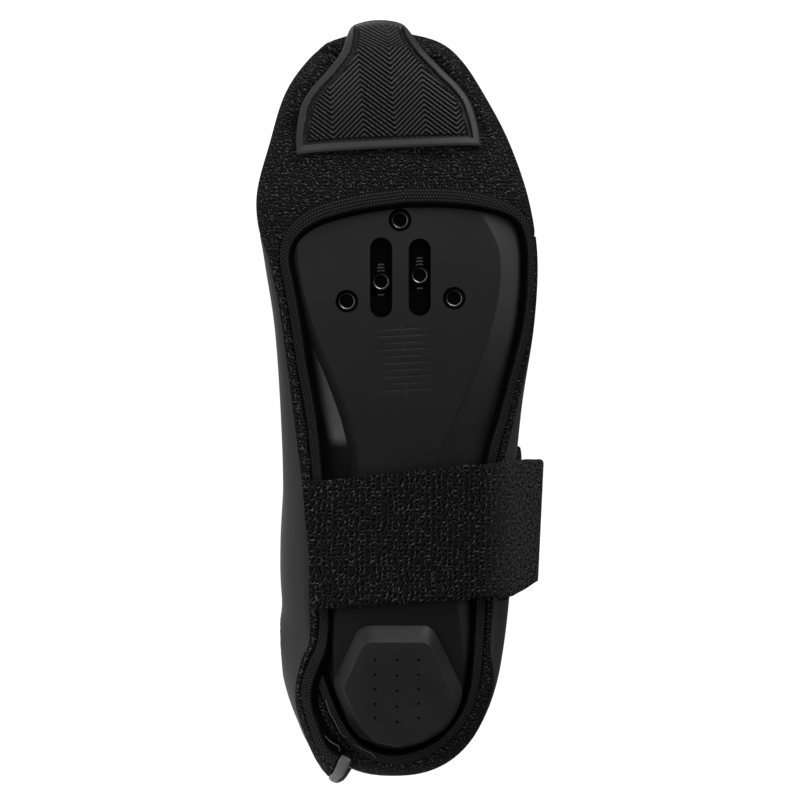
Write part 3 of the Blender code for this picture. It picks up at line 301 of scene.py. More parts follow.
def point_on(t, share):
    """Point of the form: the section at t, walked from the sole line by a share of its half girth."""
    t, share = np.broadcast_arrays(np.asarray(t, dtype=float), np.asarray(share, dtype=float))
    turn = np.mod(share + 1.0, 2.0) - 1.0
    side = np.where(turn < 0.0, -1.0, 1.0)
    row = np.clip(t, 0.0, 1.0) * (GIRTH_ROWS - 1)
    col = np.clip(np.abs(turn), 0.0, 1.0) * GIRTH_STEPS
    r = np.clip(np.floor(row).astype(int), 0, GIRTH_ROWS - 2)
    c = np.clip(np.floor(col).astype(int), 0, GIRTH_STEPS - 1)
    fr, fc = row - r, col - c
    out, rise = ((1 - fr) * ((1 - fc) * table[r, c] + fc * table[r, c + 1])
                 + fr * ((1 - fc) * table[r + 1, c] + fc * table[r + 1, c + 1]) for table in GIRTH_OUTLINE)
    values = section_at(t)
    along = values[..., 2] + rise * (values[..., 0] - values[..., 2])
    up = values[..., 3] + rise * (values[..., 1] - values[..., 3])
    across = 0.5 * (values[..., 4] + values[..., 5]) + side * out * 0.5 * (values[..., 5] - values[..., 4])
    return np.stack([along, across, up], axis=-1)


def normal_on(t, share):
    """Outward normal: cross product of the steps along t and along share; straight forward at the toe tip."""
    t, share = np.broadcast_arrays(np.asarray(t, dtype=float), np.asarray(share, dtype=float))
    dt, ds = NORMAL_STEPS
    near = np.maximum(t, dt)
    run = point_on(near + dt, share) - point_on(near - dt, share)
    turn = point_on(near, share + ds) - point_on(near, share - ds)
    weight = np.clip(t / TIP_BLEND, 0.0, 1.0)[..., None]
    return unit(weight * unit(np.cross(run, turn)) + (1.0 - weight) * np.array([1.0, 0.0, 0.0]))


def on_form(t, share, lift=0.0):
    """Point of the form moved out along its normal by lift."""
    return point_on(t, share) + normal_on(t, share) * np.asarray(lift, dtype=float)[..., None]


def run_along(points):
    """Length run along a line of points in their first two values, from 0."""
    return np.concatenate([[0.0], np.cumsum(np.linalg.norm(np.diff(points[:, :2], axis=0), axis=1))])


# The sole line as far as the heel's row, and the same line carried on up the back to the collar
HEEL_ROW = 14
SOLE_T = np.linspace(0.0, HEEL_ROW / LAST_ROW, 800)
SOLE_VALUES = section_at(SOLE_T)
BACK_T = np.linspace(0.0, 1.0, 1200)
BACK_RUN = run_along(section_at(BACK_T)[:, [2, 3]])


def t_at_along(along):
    """Section whose sole line point lies at this place along the shoe."""
    return np.interp(-np.asarray(along, dtype=float), -SOLE_VALUES[:, 2], SOLE_T)


def t_at_top(along):
    """Section whose instep line point lies at this place along the shoe."""
    return np.interp(-np.asarray(along, dtype=float), -SOLE_VALUES[:, 0], SOLE_T)


def sole_centre(t):
    """Middle of the section at t, across the shoe."""
    return np.interp(t, SOLE_T, 0.5 * (SOLE_VALUES[:, 4] + SOLE_VALUES[:, 5]))


def ease(x):
    """Smooth step from 0 to 1."""
    x = np.clip(x, 0.0, 1.0)
    return x * x * (3.0 - 2.0 * x)


def spline_through(points, steps):
    """Smooth open curve through the points, at even steps of its length in the first two values."""
    points = np.asarray(points, dtype=float)
    padded = np.vstack([2 * points[0] - points[1], points, 2 * points[-1] - points[-2]])
    place = np.linspace(0.0, len(points) - 1.0, SPLINE_SPLIT * len(points))
    start = np.minimum(place.astype(int), len(points) - 2)
    fine = curve_between(*(padded[start + i] for i in range(4)), (place - start)[:, None])
    run = run_along(fine)
    even = np.linspace(0.0, run[-1], steps)
    return np.stack([np.interp(even, run, fine[:, k]) for k in range(fine.shape[1])], axis=1)


# The open edge of the underside, from the front centre to the heel; band is binding and knit strip together
EdgePoint = namedtuple("EdgePoint", "along across band")
LATERAL_EDGE = [
    EdgePoint(215.4, 2.0, 12.0), EdgePoint(215.4, 16.6, 12.0), EdgePoint(213.7, 32.0, 12.0),
    EdgePoint(210.0, 43.4, 12.0), EdgePoint(202.5, 47.8, 11.5), EdgePoint(188.0, 48.4, 10.5),
    EdgePoint(171.4, 46.8, 10.0), EdgePoint(155.5, 42.7, 9.2), EdgePoint(137.0, 37.5, 8.6),
    EdgePoint(119.0, 32.2, 8.4), EdgePoint(90.0, 29.0, 8.2), EdgePoint(62.0, 28.2, 7.8),
    EdgePoint(46.0, 27.5, 8.2), EdgePoint(37.0, 26.8, 11.0), EdgePoint(30.5, 25.8, 15.5),
    EdgePoint(22.6, 22.6, 18.8), EdgePoint(14.0, 13.9, 21.2), EdgePoint(9.2, -1.0, 21.6),
    EdgePoint(12.5, -13.9, 20.0), EdgePoint(21.0, -21.3, 17.0), EdgePoint(30.2, -25.7, 13.0),
    EdgePoint(37.5, -28.7, 9.0),
]
MEDIAL_EDGE = [
    EdgePoint(215.4, 2.0, 12.0), EdgePoint(213.0, -14.3, 12.0), EdgePoint(208.8, -29.5, 12.0),
    EdgePoint(203.5, -37.8, 12.0), EdgePoint(196.5, -41.3, 10.8), EdgePoint(186.5, -39.7, 9.6),
    EdgePoint(171.4, -37.0, 9.4), EdgePoint(156.0, -34.7, 9.2), EdgePoint(137.0, -31.2, 9.8),
    EdgePoint(117.5, -29.1, 9.2), EdgePoint(90.0, -27.2, 7.8), EdgePoint(62.0, -26.2, 8.2),
    EdgePoint(52.0, -26.6, 7.6), EdgePoint(46.0, -27.3, 7.2), EdgePoint(40.0, -29.1, 6.8),
    EdgePoint(34.0, -31.0, 6.6), EdgePoint(28.0, -31.8, 7.0), EdgePoint(22.0, -30.8, 9.6),
    EdgePoint(17.0, -28.3, 12.8), EdgePoint(13.6, -25.8, 15.2), EdgePoint(11.4, -23.1, 16.6),
    EdgePoint(10.6, -20.6, 17.2),
]
EDGE_STEPS = 400
BINDING_WIDTH = 4.8
Edge = namedtuple("Edge", "side curve out turn lapped")


def outward(curve, side):
    """Unit direction away from the opening: the curve's tangent turned by a right angle."""
    tangent = unit(np.gradient(curve[:, :2], axis=0))
    return side * np.stack([-tangent[:, 1], tangent[:, 0]], axis=1)


def chart_to_form(place):
    """Section and share of girth at a place of the flat chart: run along the sole line, and girth from it."""
    t = np.interp(place[..., 0], BACK_RUN, BACK_T)
    return t, place[..., 1] / girth_at(t)


def edge_of(points, side, lapped):
    """Opening edge laid out in the chart, with the step where it turns from the toe to the side."""
    rows = np.array(points)
    t = t_at_along(rows[:, 0])
    chart = np.stack([np.interp(t, BACK_T, BACK_RUN), rows[:, 1] - sole_centre(t), rows[:, 2]], axis=1)
    curve = spline_through(chart, EDGE_STEPS)
    out = outward(curve, side)
    half = EDGE_STEPS // 2
    _, share = chart_to_form(curve[:half, :2] + out[:half] * (BINDING_WIDTH + GAP))
    return Edge(side, curve, out, int(np.argmax(np.abs(share))), lapped)


LATERAL = edge_of(LATERAL_EDGE, 1.0, False)
MEDIAL = edge_of(MEDIAL_EDGE, -1.0, True)


def column_at(table, place):
    """Rows of a table at fractional places, by straight steps between its rows."""
    steps = np.arange(len(table))
    return np.stack([np.interp(place, steps, table[:, k]) for k in range(table.shape[1])], axis=-1)


def edge_at(edge, place, out):
    """Chart place at a step along an edge, moved out from the opening."""
    place, out = np.broadcast_arrays(np.asarray(place, dtype=float), np.asarray(out, dtype=float))
    return column_at(edge.curve[:, :2], place) + column_at(edge.out, place) * out[..., None]


def band_at(edge, place):
    """Width of binding and knit strip together at a step along an edge."""
    return np.interp(place, np.arange(EDGE_STEPS), edge.curve[:, 2])


# The medial half laps over the lateral one at the back, and its free end flares away near the sole
UNDERLAP_SHARE = -0.20
OVERLAP_SHARE = -0.090
LAP_LIFT = WALL + 1.7
LAP_ALONG = (54.0, 41.5)
LAP_SHARE = (-0.33, -0.235)
FLARE_LIFT = 3.2
FLARE_ALONG = (24.0, 9.0)
FLARE_END_ROW = 16.4
FLARE_FADE_ROWS = 2.0
FLARE_SHARE = -0.185


def lap_lift(t, share):
    """How far the medial half stands out: a smooth rise to the lap, and one more to the flared free end."""
    start, full = t_at_along(LAP_ALONG[0]), t_at_along(LAP_ALONG[1])
    lap = ease((t - start) / (full - start)) * ease((share - LAP_SHARE[0]) / (LAP_SHARE[1] - LAP_SHARE[0]))
    start, full = t_at_along(FLARE_ALONG[0]), t_at_along(FLARE_ALONG[1])
    flare = ease((t - start) / (full - start)) * ease((FLARE_END_ROW - t * LAST_ROW) / FLARE_FADE_ROWS)
    free = ease((share - FLARE_SHARE) / (OVERLAP_SHARE - FLARE_SHARE))
    return LAP_LIFT * lap + FLARE_LIFT * flare * free


def strip_lift(edge, t, share):
    """Lift of the strips along an edge."""
    return lap_lift(t, share) if edge.lapped else np.zeros(np.shape(t))


# Seam between the knit toe and the upper, and the creases where the ankle bends the fabric
ToeSeam = namedtuple("ToeSeam", "rise medial_along lateral_along")
TOE_SEAM = [
    ToeSeam(0.10, 205.0, 205.0), ToeSeam(0.25, 210.0, 208.0), ToeSeam(0.45, 216.0, 214.0),
    ToeSeam(0.65, 220.5, 219.5), ToeSeam(0.85, 223.0, 223.0), ToeSeam(1.00, 223.5, 223.5),
]
SEAM_STEP = 0.0009
SEAM_STEPS = 200
SEAM_DIP = 0.5
STRIP_DIP = 0.45
VAMP_COLUMNS = 12
LATERAL_COLUMNS = 35
MEDIAL_COLUMNS = 28
COLUMN_SPLIT = 4
HEM_WIDTH = 13.0
HEM_STEP = 0.7
HEM_ROUND = 0.8
INNER_LIFT = 7.9
Crease = namedtuple("Crease", "side along_a up_a along_b up_b width depth")
CREASES = [
    Crease(1, 150, 112, 96, 88, 5.0, 1.5), Crease(1, 146, 124, 84, 104, 5.5, 1.3),
    Crease(1, 138, 140, 92, 126, 6.0, 0.9), Crease(1, 14, 96, 58, 88, 6.0, 1.2),
    Crease(1, 16, 112, 48, 108, 5.0, 0.8), Crease(1, 176, 86, 140, 66, 7.0, 0.9),
    Crease(1, 120, 46, 84, 40, 8.0, 0.7), Crease(1, 58, 34, 30, 52, 7.0, 0.7),
    Crease(-1, 150, 112, 98, 90, 5.0, 1.3), Crease(-1, 146, 125, 86, 106, 5.5, 1.1),
    Crease(-1, 14, 98, 56, 90, 6.0, 1.0), Crease(-1, 178, 86, 142, 68, 7.0, 0.8),
]
CREASE_WAVER = 2.5
CREASE_WAVES = 2.2
CREASE_END = 0.35
CREASE_CLEAR = 12.0
FABRIC_TONE = (0.030, 0.037)
FABRIC_ROUGH = (0.47, 0.58)
LINING_TONE = (0.014, 0.042)


def seam_limit(edge, column):
    """Share and section along the toe panel's rear edge: first the binding, then the seam to the instep."""
    place = np.linspace(0.0, edge.turn, SEAM_STEPS)
    edge_t, edge_share = chart_to_form(edge_at(edge, place, BINDING_WIDTH + GAP))
    corner_t, corner = chart_to_form(edge_at(edge, edge.turn, band_at(edge, edge.turn)))
    corner = abs(float(corner))
    rows = np.array(TOE_SEAM)
    limits = t_at_along(rows[:, column])
    limits[-1] = t_at_top(rows[-1, column])
    seam = np.stack([corner + (1.0 - corner) * rows[:, 0], limits], axis=1)
    seam = spline_through(np.vstack([[corner, float(corner_t)], seam]), SEAM_STEPS)
    shares = np.concatenate([edge.side * edge_share, seam[:, 0]])
    return np.maximum.accumulate(shares), np.concatenate([edge_t, seam[:, 1]]), corner


SEAM_LIMITS = {1.0: seam_limit(LATERAL, 2), -1.0: seam_limit(MEDIAL, 1)}


def beside_line(place, start, end):
    """Place against a straight line from start to end: share of the way along it, and distance off it."""
    run, place = np.subtract(end, start), place - np.array(start)
    off = (place[..., 0] * run[1] - place[..., 1] * run[0]) / np.linalg.norm(run)
    return place @ run / (run @ run), off


def trough(off, width, ridge, ridge_off):
    """Bell across a line, less a low ridge beside it that lies a number of widths off."""
    return np.exp(-(off / width) ** 2) - ridge * np.exp(-((off - ridge_off * width) / width) ** 2)


def crease_depth(points):
    """Soft wavering troughs along listed lines on one side, faded at the ends and near the middle."""
    depth = np.zeros(points.shape[:-1])
    across = points[..., 1]
    for crease in CREASES:
        start, end = (crease.along_a, crease.up_a), (crease.along_b, crease.up_b)
        share, off = beside_line(points[..., [0, 2]], start, end)
        off = off + CREASE_WAVER * np.sin(CREASE_WAVES * share + crease.along_a)
        ends = ease(share / CREASE_END) * ease((1.0 - share) / CREASE_END)
        shown = (crease.side * across > 0.0) * ease(np.abs(across) / CREASE_CLEAR)
        depth += crease.depth * trough(off, crease.width, 0.45, 2.1) * ends * shown
    return depth


# Columns and rows lie closer where the fabric dips into its seams
column_steps = np.arange(1, COLUMN_SPLIT * (LATERAL_COLUMNS - 1) + 1) / COLUMN_SPLIT
column_steps = np.concatenate([[0.0, 0.04, 0.10, 0.17], column_steps])
upper_rise = np.concatenate([[0.0, 0.004, 0.010, 0.018, 0.030], np.linspace(0.045, 1.0, 80)])


def upper_half(edge, columns, end_share):
    """One half as a grid: each column runs from the strip's seam up to the instep or the collar."""
    c = column_steps[column_steps <= columns - 1]
    place = edge.turn + (EDGE_STEPS - 1 - edge.turn) * c / (columns - 1)
    low_t, low_share = chart_to_form(edge_at(edge, place, band_at(edge, place) + 0.5 * GAP))
    vamp = np.clip(c / (VAMP_COLUMNS - 1.0), 0.0, 1.0)
    back = np.clip((c - VAMP_COLUMNS + 1.0) / (columns - VAMP_COLUMNS), 0.0, 1.0)
    top_start = float(t_at_top(TOE_SEAM[-1].medial_along)) + SEAM_STEP
    rise = upper_rise[:, None]
    t = low_t + (top_start + (1.0 - top_start) * vamp - low_t) * rise
    share = low_share + (edge.side + (end_share - edge.side) * back - low_share) * rise
    shares, limits, _ = SEAM_LIMITS[edge.side]
    bend = np.interp(edge.side * share[:, 0], shares, limits) + SEAM_STEP - t[:, 0]
    t = t + bend[:, None] * (1.0 - vamp) ** 2
    dip = SEAM_DIP * np.exp(-(c / 0.09) ** 2) + STRIP_DIP * np.exp(-(rise / 0.010) ** 2)
    bare = point_on(t, share)
    collar = SECTIONS[-1]
    collar_slope = (collar.top_up - collar.low_up) / (collar.top_along - collar.low_along)
    below_collar = collar.low_up + collar_slope * (bare[..., 0] - collar.low_along) - bare[..., 2]
    hem = HEM_STEP * (1.0 - ease((below_collar - HEM_WIDTH + HEM_ROUND) / (2.0 * HEM_ROUND)))
    return t, share, strip_lift(edge, t, share) - dip - crease_depth(bare) + hem


def grid_faces(rows, columns, first=0, closed=False):
    """Four-sided faces of a grid listed row by row; closed joins the last column to the first."""
    i = np.arange(rows - 1)[:, None] * columns
    j = np.arange(columns if closed else columns - 1)[None, :]
    k = (j + 1) % columns
    return first + np.stack([i + j, i + k, i + columns + k, i + columns + j], axis=-1).reshape(-1, 4)


def free_edges(faces):
    """Edges that only one face uses."""
    edges = np.stack([faces, np.roll(faces, -1, axis=1)], axis=-1).reshape(-1, 2)
    key = edges.min(axis=1) * (int(faces.max()) + 1) + edges.max(axis=1)
    _, first, count = np.unique(key, return_index=True, return_counts=True)
    return edges[first[count == 1]]


def add_piece(name, points, faces, materials, nodes, fields=None, skin=None, sharp=40.0):
    """One piece from points and four-sided faces: kept off the floor, doubles merged, faces outwards."""
    used, faces = np.unique(faces, return_inverse=True)
    faces = faces.reshape(-1, 4)
    mesh = bpy.data.meshes.new(name)
    mesh.vertices.add(len(used))
    placed = to_row(points[used])
    placed[:, 2] = np.maximum(placed[:, 2], 0.0)
    mesh.vertices.foreach_set("co", placed.astype(np.float32).ravel())
    mesh.loops.add(faces.size)
    mesh.loops.foreach_set("vertex_index", faces.ravel().astype(np.int32))
    mesh.polygons.add(len(faces))
    mesh.polygons.foreach_set("loop_start", np.arange(0, faces.size, 4, dtype=np.int32))
    mesh.update(calc_edges=True)
    for field, values in (fields or {}).items():
        wide = values.ndim > 1
        layer = mesh.attributes.new(field, "FLOAT_VECTOR" if wide else "FLOAT", "POINT")
        layer.data.foreach_set("vector" if wide else "value", values[used].astype(np.float32).ravel())
    for material in materials:
        mesh.materials.append(material)
    if skin is not None:
        mesh.polygons.foreach_set("material_index", skin.astype(np.int32))
    body = bmesh.new()
    body.from_mesh(mesh)
    bmesh.ops.remove_doubles(body, verts=body.verts, dist=2e-7)
    bmesh.ops.recalc_face_normals(body, faces=body.faces)
    body.to_mesh(mesh)
    body.free()
    mesh.polygons.foreach_set("use_smooth", np.ones(len(mesh.polygons), dtype=bool))
    mesh.set_sharp_from_angle(angle=math.radians(sharp))
    piece = bpy.data.objects.new(name, mesh)
    bpy.context.collection.objects.link(piece)
    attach(piece, "root")
    if nodes:
        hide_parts(*nodes)
    return piece


def thick_faces(faces, count):
    """Faces of a closed body between two matching skins: both skins, and a rim along every free edge."""
    rim = free_edges(faces)
    rim = np.column_stack([rim, rim[:, ::-1] + count])
    return np.vstack([faces, faces[:, ::-1] + count, rim[:, ::-1]])


coated_fabric, tree, shader = new_material("coated_fabric", 0.5, 0.35)
object_place = object_coords(tree)
cloudy = noise_of(tree, object_place, 28.0, 3.0)
fine = noise_of(tree, object_place, 2600.0, 2.0)
tone = work(tree, "ADD", spread(tree, cloudy, *FABRIC_TONE), spread(tree, fine, -0.003, 0.003))
link_to(shader, "Base Color", tone)
link_to(shader, "Roughness", spread(tree, cloudy, *FABRIC_ROUGH))
bump_on(tree, shader, work(tree, "MULTIPLY", fine, 0.035))

brushed_lining, tree, shader = new_material("brushed_lining", 0.95, 0.1)
object_place = object_coords(tree)
nap = noise_of(tree, object_place, 1500.0, 4.0, 0.7)
link_to(shader, "Base Color", spread(tree, nap, *LINING_TONE))
bump_on(tree, shader, work(tree, "MULTIPLY", nap, 0.25))
shader.inputs["Sheen Weight"].default_value = 0.25
shader.inputs["Sheen Roughness"].default_value = 0.6

halves = [upper_half(LATERAL, LATERAL_COLUMNS, UNDERLAP_SHARE),
          upper_half(MEDIAL, MEDIAL_COLUMNS, OVERLAP_SHARE)]
upper_t, upper_share, upper_lift = (np.concatenate([grid.reshape(-1) for grid in pair])
                                    for pair in zip(*halves))
lateral_shape, medial_shape = halves[0][0].shape, halves[1][0].shape
lateral_count = lateral_shape[0] * lateral_shape[1]
# Both halves share the points of the seam along the instep
upper_index = np.arange(len(upper_t))
vamp_count = int((column_steps <= VAMP_COLUMNS - 1).sum())
upper_index[lateral_count + (medial_shape[0] - 1) * medial_shape[1] + np.arange(vamp_count)] = (
    (lateral_shape[0] - 1) * lateral_shape[1] + np.arange(vamp_count))
upper_faces = np.vstack([grid_faces(*lateral_shape), grid_faces(*medial_shape, lateral_count)[:, ::-1]])
upper_faces = upper_index[upper_faces]
upper_points = np.vstack([on_form(upper_t, upper_share, upper_lift),
                          on_form(upper_t, upper_share, np.minimum(upper_lift, INNER_LIFT) - WALL)])
upper_skins = thick_faces(upper_faces, len(upper_t))
upper_side = np.zeros(len(upper_skins))
upper_side[len(upper_faces):2 * len(upper_faces)] = 1
add_piece("upper_shell", upper_points, upper_skins, [coated_fabric, brushed_lining], ["upper"],
          skin=upper_side, sharp=50.0)

# Knit toe: a panel of coarse looped yarn, black on black, sewn to the upper by a plain seam and to the
# binding under the ball. The toe guard sits on it and presses soft folds into it on both sides.
TOE_RINGS = 92
FRONT_COLUMNS = 72
SEAM_COLUMNS = 104
ToeFold = namedtuple("ToeFold", "along_a across_a along_b across_b width depth")
TOE_FOLDS = [
    ToeFold(243, -40.5, 254, -37.5, 1.7, 2.5), ToeFold(254, -37.5, 264, -29.5, 1.7, 2.8),
    ToeFold(264, -29.5, 275, -21.5, 1.7, 2.7), ToeFold(272.8, -29.0, 274.6, -22.0, 0.9, 2.7),
    ToeFold(273, 9.5, 262, 19.5, 1.7, 2.7), ToeFold(262, 19.5, 250, 28.0, 1.7, 2.3),
    ToeFold(250, 28.0, 242, 31.5, 1.7, 1.7), ToeFold(272.5, 17.5, 268.5, 10.5, 1.0, 2.3),
    ToeFold(264, 26.5, 261, 20.5, 1.2, 1.9), ToeFold(236, 6.0, 233, 20.0, 1.5, 1.9),
]
FOLD_TOP = 38.0
TOE_SEAM_DIP = 0.55
Yarn = namedtuple("Yarn", "cell size lean jitter light dark ribbed plain_from")
TOE_YARN = Yarn((1.55, 1.36), 0.70, math.radians(20.0), 0.80, 0.086, 0.0135, 0.25, None)
WANDER_SCALE = 0.22
WANDER_REACH = 1.6
LOOP_SWING = 1.7
LOOP_BOW = (1.2, 0.25)
LOOP_SHINE = (1.5, 0.25)
LOOP_OVAL = np.array([0.30, 0.98, 0.40])
PIT_OVAL = np.array([-0.40, 1.05, 0.52])
PILE_STRETCH = (1.7, 1.1, 1.0)
PILE_FADE = 12.0


def field_of(tree, name, output="Fac"):
    """A field stored on the piece's points."""
    return add_node(tree, "ShaderNodeAttribute", attribute_name=name).outputs[output]


def vector_work(tree, operation, first, second):
    """Result of one Vector Math node."""
    return add_node(tree, "ShaderNodeVectorMath", {0: first, 1: second}, operation=operation).outputs[0]


def knit_material(name, yarn):
    """Looped yarn on the cloth's own millimetres: each jittered cell holds one short bent loop, painted
    lighter as highlight, with a pit beside it that dips the bump and is painted dark as shade; the lines
    between cells are painted darker as shade, and past plain_from a fine pile takes over."""
    material, tree, shader = new_material(name, 0.9, 0.05)
    size, dark = yarn.size, yarn.dark
    cloth = field_of(tree, "cloth", "Vector")
    drift = {"Vector": cloth, "Scale": WANDER_SCALE, "Detail": 1.0}
    wander = add_node(tree, "ShaderNodeTexNoise", drift).outputs["Color"]
    wander = vector_work(tree, "SUBTRACT", wander, (0.5, 0.5, 0.5))
    wander = vector_work(tree, "MULTIPLY", wander, (WANDER_REACH, WANDER_REACH, WANDER_REACH))
    cells = vector_work(tree, "ADD", cloth, wander)
    cells = vector_work(tree, "MULTIPLY", cells, (1.0 / yarn.cell[0], 1.0 / yarn.cell[1], 0.0))
    loops = add_node(tree, "ShaderNodeTexVoronoi", {"Vector": cells, "Scale": 1.0, "Randomness": yarn.jitter},
                     voronoi_dimensions="2D")
    chance = add_node(tree, "ShaderNodeSeparateColor", {0: loops.outputs["Color"]})
    swing = work(tree, "MULTIPLY_ADD", chance.outputs[0], LOOP_SWING, -0.5 * LOOP_SWING - yarn.lean)
    local = vector_work(tree, "SUBTRACT", cells, loops.outputs["Position"])
    local = vector_work(tree, "MULTIPLY", local, (*yarn.cell, 0.0))
    local = add_node(tree, "ShaderNodeVectorRotate", {"Vector": local, "Angle": swing},
                     rotation_type="Z_AXIS")
    long_way, wide_way = (part_of(tree, local.outputs[0], axis) for axis in (0, 1))
    bow = work(tree, "MULTIPLY", work(tree, "MULTIPLY", long_way, long_way),
               work(tree, "MULTIPLY_ADD", chance.outputs[1], *LOOP_BOW))
    bowed = work(tree, "ADD", wide_way, bow)

    def oval(off, long_half, wide_half):
        """Smooth oval of the given half sizes about a place beside the loop's own line."""
        wide = work(tree, "DIVIDE", work(tree, "SUBTRACT", bowed, off), wide_half)
        length = work(tree, "DIVIDE", long_way, long_half)
        reach = work(tree, "MULTIPLY_ADD", wide, wide, work(tree, "MULTIPLY", length, length))
        return work(tree, "SUBTRACT", 1.0, reach, clamp=True)

    # The pit beside each loop dips the bump and is painted dark as shade
    loop, pit = oval(*(LOOP_OVAL * size)), oval(*(PIT_OVAL * size))
    fuzz = noise_of(tree, cloth, 1.45 / size, 2.0, 0.65)
    base = spread(tree, fuzz, 0.10 * dark, 2.6 * dark, 0.36, 0.66)
    looped = 1.0
    if yarn.plain_from is not None:
        run = part_of(tree, cloth, 0)
        looped = spread(tree, run, 1.0, 0.0, yarn.plain_from, yarn.plain_from + PILE_FADE)
        loop, pit = (work(tree, "MULTIPLY", shape, looped) for shape in (loop, pit))
        pile = noise_of(tree, vector_work(tree, "MULTIPLY", cloth, PILE_STRETCH), 1.0, 2.0, 0.7)
        pile = spread(tree, pile, 0.1 * dark, 6.8 * dark, 0.38, 0.68)
        pile = work(tree, "MULTIPLY", pile, work(tree, "SUBTRACT", 1.0, looped))
        base = work(tree, "MULTIPLY_ADD", base, looped, pile)
    # Painted shade: the lines between the cells are darkened
    for axis in (0, 1):
        line = work(tree, "COSINE", work(tree, "MULTIPLY", part_of(tree, cells, axis), 2.0 * math.pi))
        line = spread(tree, line, -0.3 * yarn.ribbed, yarn.ribbed, -1.0, 1.0)
        base = work(tree, "MULTIPLY", base, work(tree, "SUBTRACT", 1.0, work(tree, "MULTIPLY", line, looped)))
    # Painted highlight: each loop is painted lighter than the black yarn, by a share drawn for its cell
    shine = work(tree, "MULTIPLY", chance.outputs[2], chance.outputs[2])
    shine = work(tree, "MULTIPLY", loop, work(tree, "MULTIPLY_ADD", shine, *LOOP_SHINE))
    tone = work(tree, "MULTIPLY", base, work(tree, "MULTIPLY_ADD", pit, -1.3, 1.0, clamp=True))
    link_to(shader, "Base Color", work(tree, "MULTIPLY_ADD", shine, yarn.light, tone))
    height = work(tree, "MULTIPLY_ADD", loop, 0.30 * size, work(tree, "MULTIPLY", fuzz, 0.45 * size))
    bump_on(tree, shader, work(tree, "MULTIPLY_ADD", pit, -0.25 * size, height))
    return material


def chart_cloth(t, share):
    """Cloth millimetres of a place on the form: girth away from the sole line, and run along it."""
    run = np.interp(t, BACK_T, BACK_RUN)
    return np.stack([share * girth_at(t), run, np.zeros(np.shape(t))], axis=-1)


def for_both(grid):
    """Values of a grid of vectors, listed once for each of a piece's two skins."""
    return np.tile(grid.reshape(-1, 3), (2, 1))


def toe_columns(edge):
    """Shares of girth of one side's columns: along the binding, then along the seam to the instep."""
    place = np.linspace(0.0, edge.turn, FRONT_COLUMNS)
    _, low = chart_to_form(edge_at(edge, place, BINDING_WIDTH + GAP))
    high = np.linspace(SEAM_LIMITS[edge.side][2], 1.0, SEAM_COLUMNS)
    return np.maximum.accumulate(np.concatenate([edge.side * low, high])) * edge.side


def toe_fold_depth(points):
    """Soft folds beside the guard: a trough along each short line of the underside, faded past its ends."""
    depth = np.zeros(points.shape[:-1])
    for fold in TOE_FOLDS:
        start, end = (fold.along_a, fold.across_a), (fold.along_b, fold.across_b)
        share, off = beside_line(points[..., :2], start, end)
        ends = ease((share + 0.2) / 0.5) * ease((1.2 - share) / 0.5)
        depth += fold.depth * trough(off, fold.width, 0.5, 2.0) * ends * (points[..., 2] < FOLD_TOP)
    return depth


toe_knit = knit_material("toe_knit", TOE_YARN)
lateral_shares, medial_shares = toe_columns(LATERAL), toe_columns(MEDIAL)
toe_shares = np.concatenate([lateral_shares, medial_shares[1:-1][::-1]])
toe_limits = np.where(toe_shares >= 0.0, np.interp(toe_shares, *SEAM_LIMITS[1.0][:2]),
                      np.interp(-toe_shares, *SEAM_LIMITS[-1.0][:2]))
toe_steps = np.concatenate([[0.0], np.linspace(0.02, 0.975, TOE_RINGS - 5), [0.984, 0.991, 0.996, 1.0]])
toe_t = toe_steps[:, None] * toe_limits[None, :]
toe_share = np.broadcast_to(toe_shares[None, :], toe_t.shape)
toe_lift = -TOE_SEAM_DIP * np.exp(-((1.0 - toe_steps[:, None]) / 0.010) ** 2)
toe_lift = toe_lift - toe_fold_depth(point_on(toe_t, toe_share))
toe_points = np.vstack([on_form(toe_t, toe_share, toe_lift).reshape(-1, 3),
                        on_form(toe_t, toe_share, toe_lift - WALL).reshape(-1, 3)])
toe_faces = grid_faces(*toe_t.shape, closed=True)
toe_rim = np.arange(toe_t.shape[1]) + (toe_t.shape[0] - 1) * toe_t.shape[1]
toe_next = np.roll(toe_rim, -1)
toe_skins = np.vstack([toe_faces, toe_faces[:, ::-1] + toe_t.size,
                       np.stack([toe_rim, toe_next, toe_next + toe_t.size, toe_rim + toe_t.size], axis=1)])
add_piece("toe_knit_panel", toe_points, toe_skins, [toe_knit], ["toe_panel"],
          {"cloth": for_both(chart_cloth(toe_t, toe_share))})

# Knit strips: narrow bands of the same looped yarn between the binding and the smooth upper, down both
# sides and round the heel. The medial one ends in the flap of the back closure.
STRIP_STEP = 0.9
STRIP_COLUMNS = 12
STRIP_PROUD = 0.25
STRIP_ROLL = 0.75


def add_thick(name, outer, inner, material, node, fields, sharp):
    """A closed piece between two matching grids of points, with a rim round their free edge."""
    faces = thick_faces(grid_faces(*outer.shape[:2]), outer[..., 0].size)
    points = np.vstack([outer.reshape(-1, 3), inner.reshape(-1, 3)])
    return add_piece(name, points, faces, [material], [node], fields, sharp=sharp)


def knit_strip(name, edge, node):
    """Strip between the binding's outer edge and the seam, its two long edges rolled in."""
    steps = int(run_along(edge.curve[edge.turn:])[-1] / STRIP_STEP)
    place = np.linspace(edge.turn - 0.6, EDGE_STEPS - 1.0, steps)[:, None]
    x = np.linspace(-1.0, 1.0, STRIP_COLUMNS)[None, :]
    x = np.sign(x) * np.abs(x) ** 0.7
    low, high = BINDING_WIDTH + GAP, band_at(edge, place) - 0.5 * GAP
    t, share = chart_to_form(edge_at(edge, place, low + (high - low) * 0.5 * (1.0 + x)))
    lift = strip_lift(edge, t, share)
    outer = on_form(t, share, lift + STRIP_PROUD - STRIP_ROLL * np.abs(x) ** 6)
    add_thick(name, outer, on_form(t, share, lift - WALL), toe_knit, node,
              {"cloth": for_both(chart_cloth(t, share))}, 60.0)


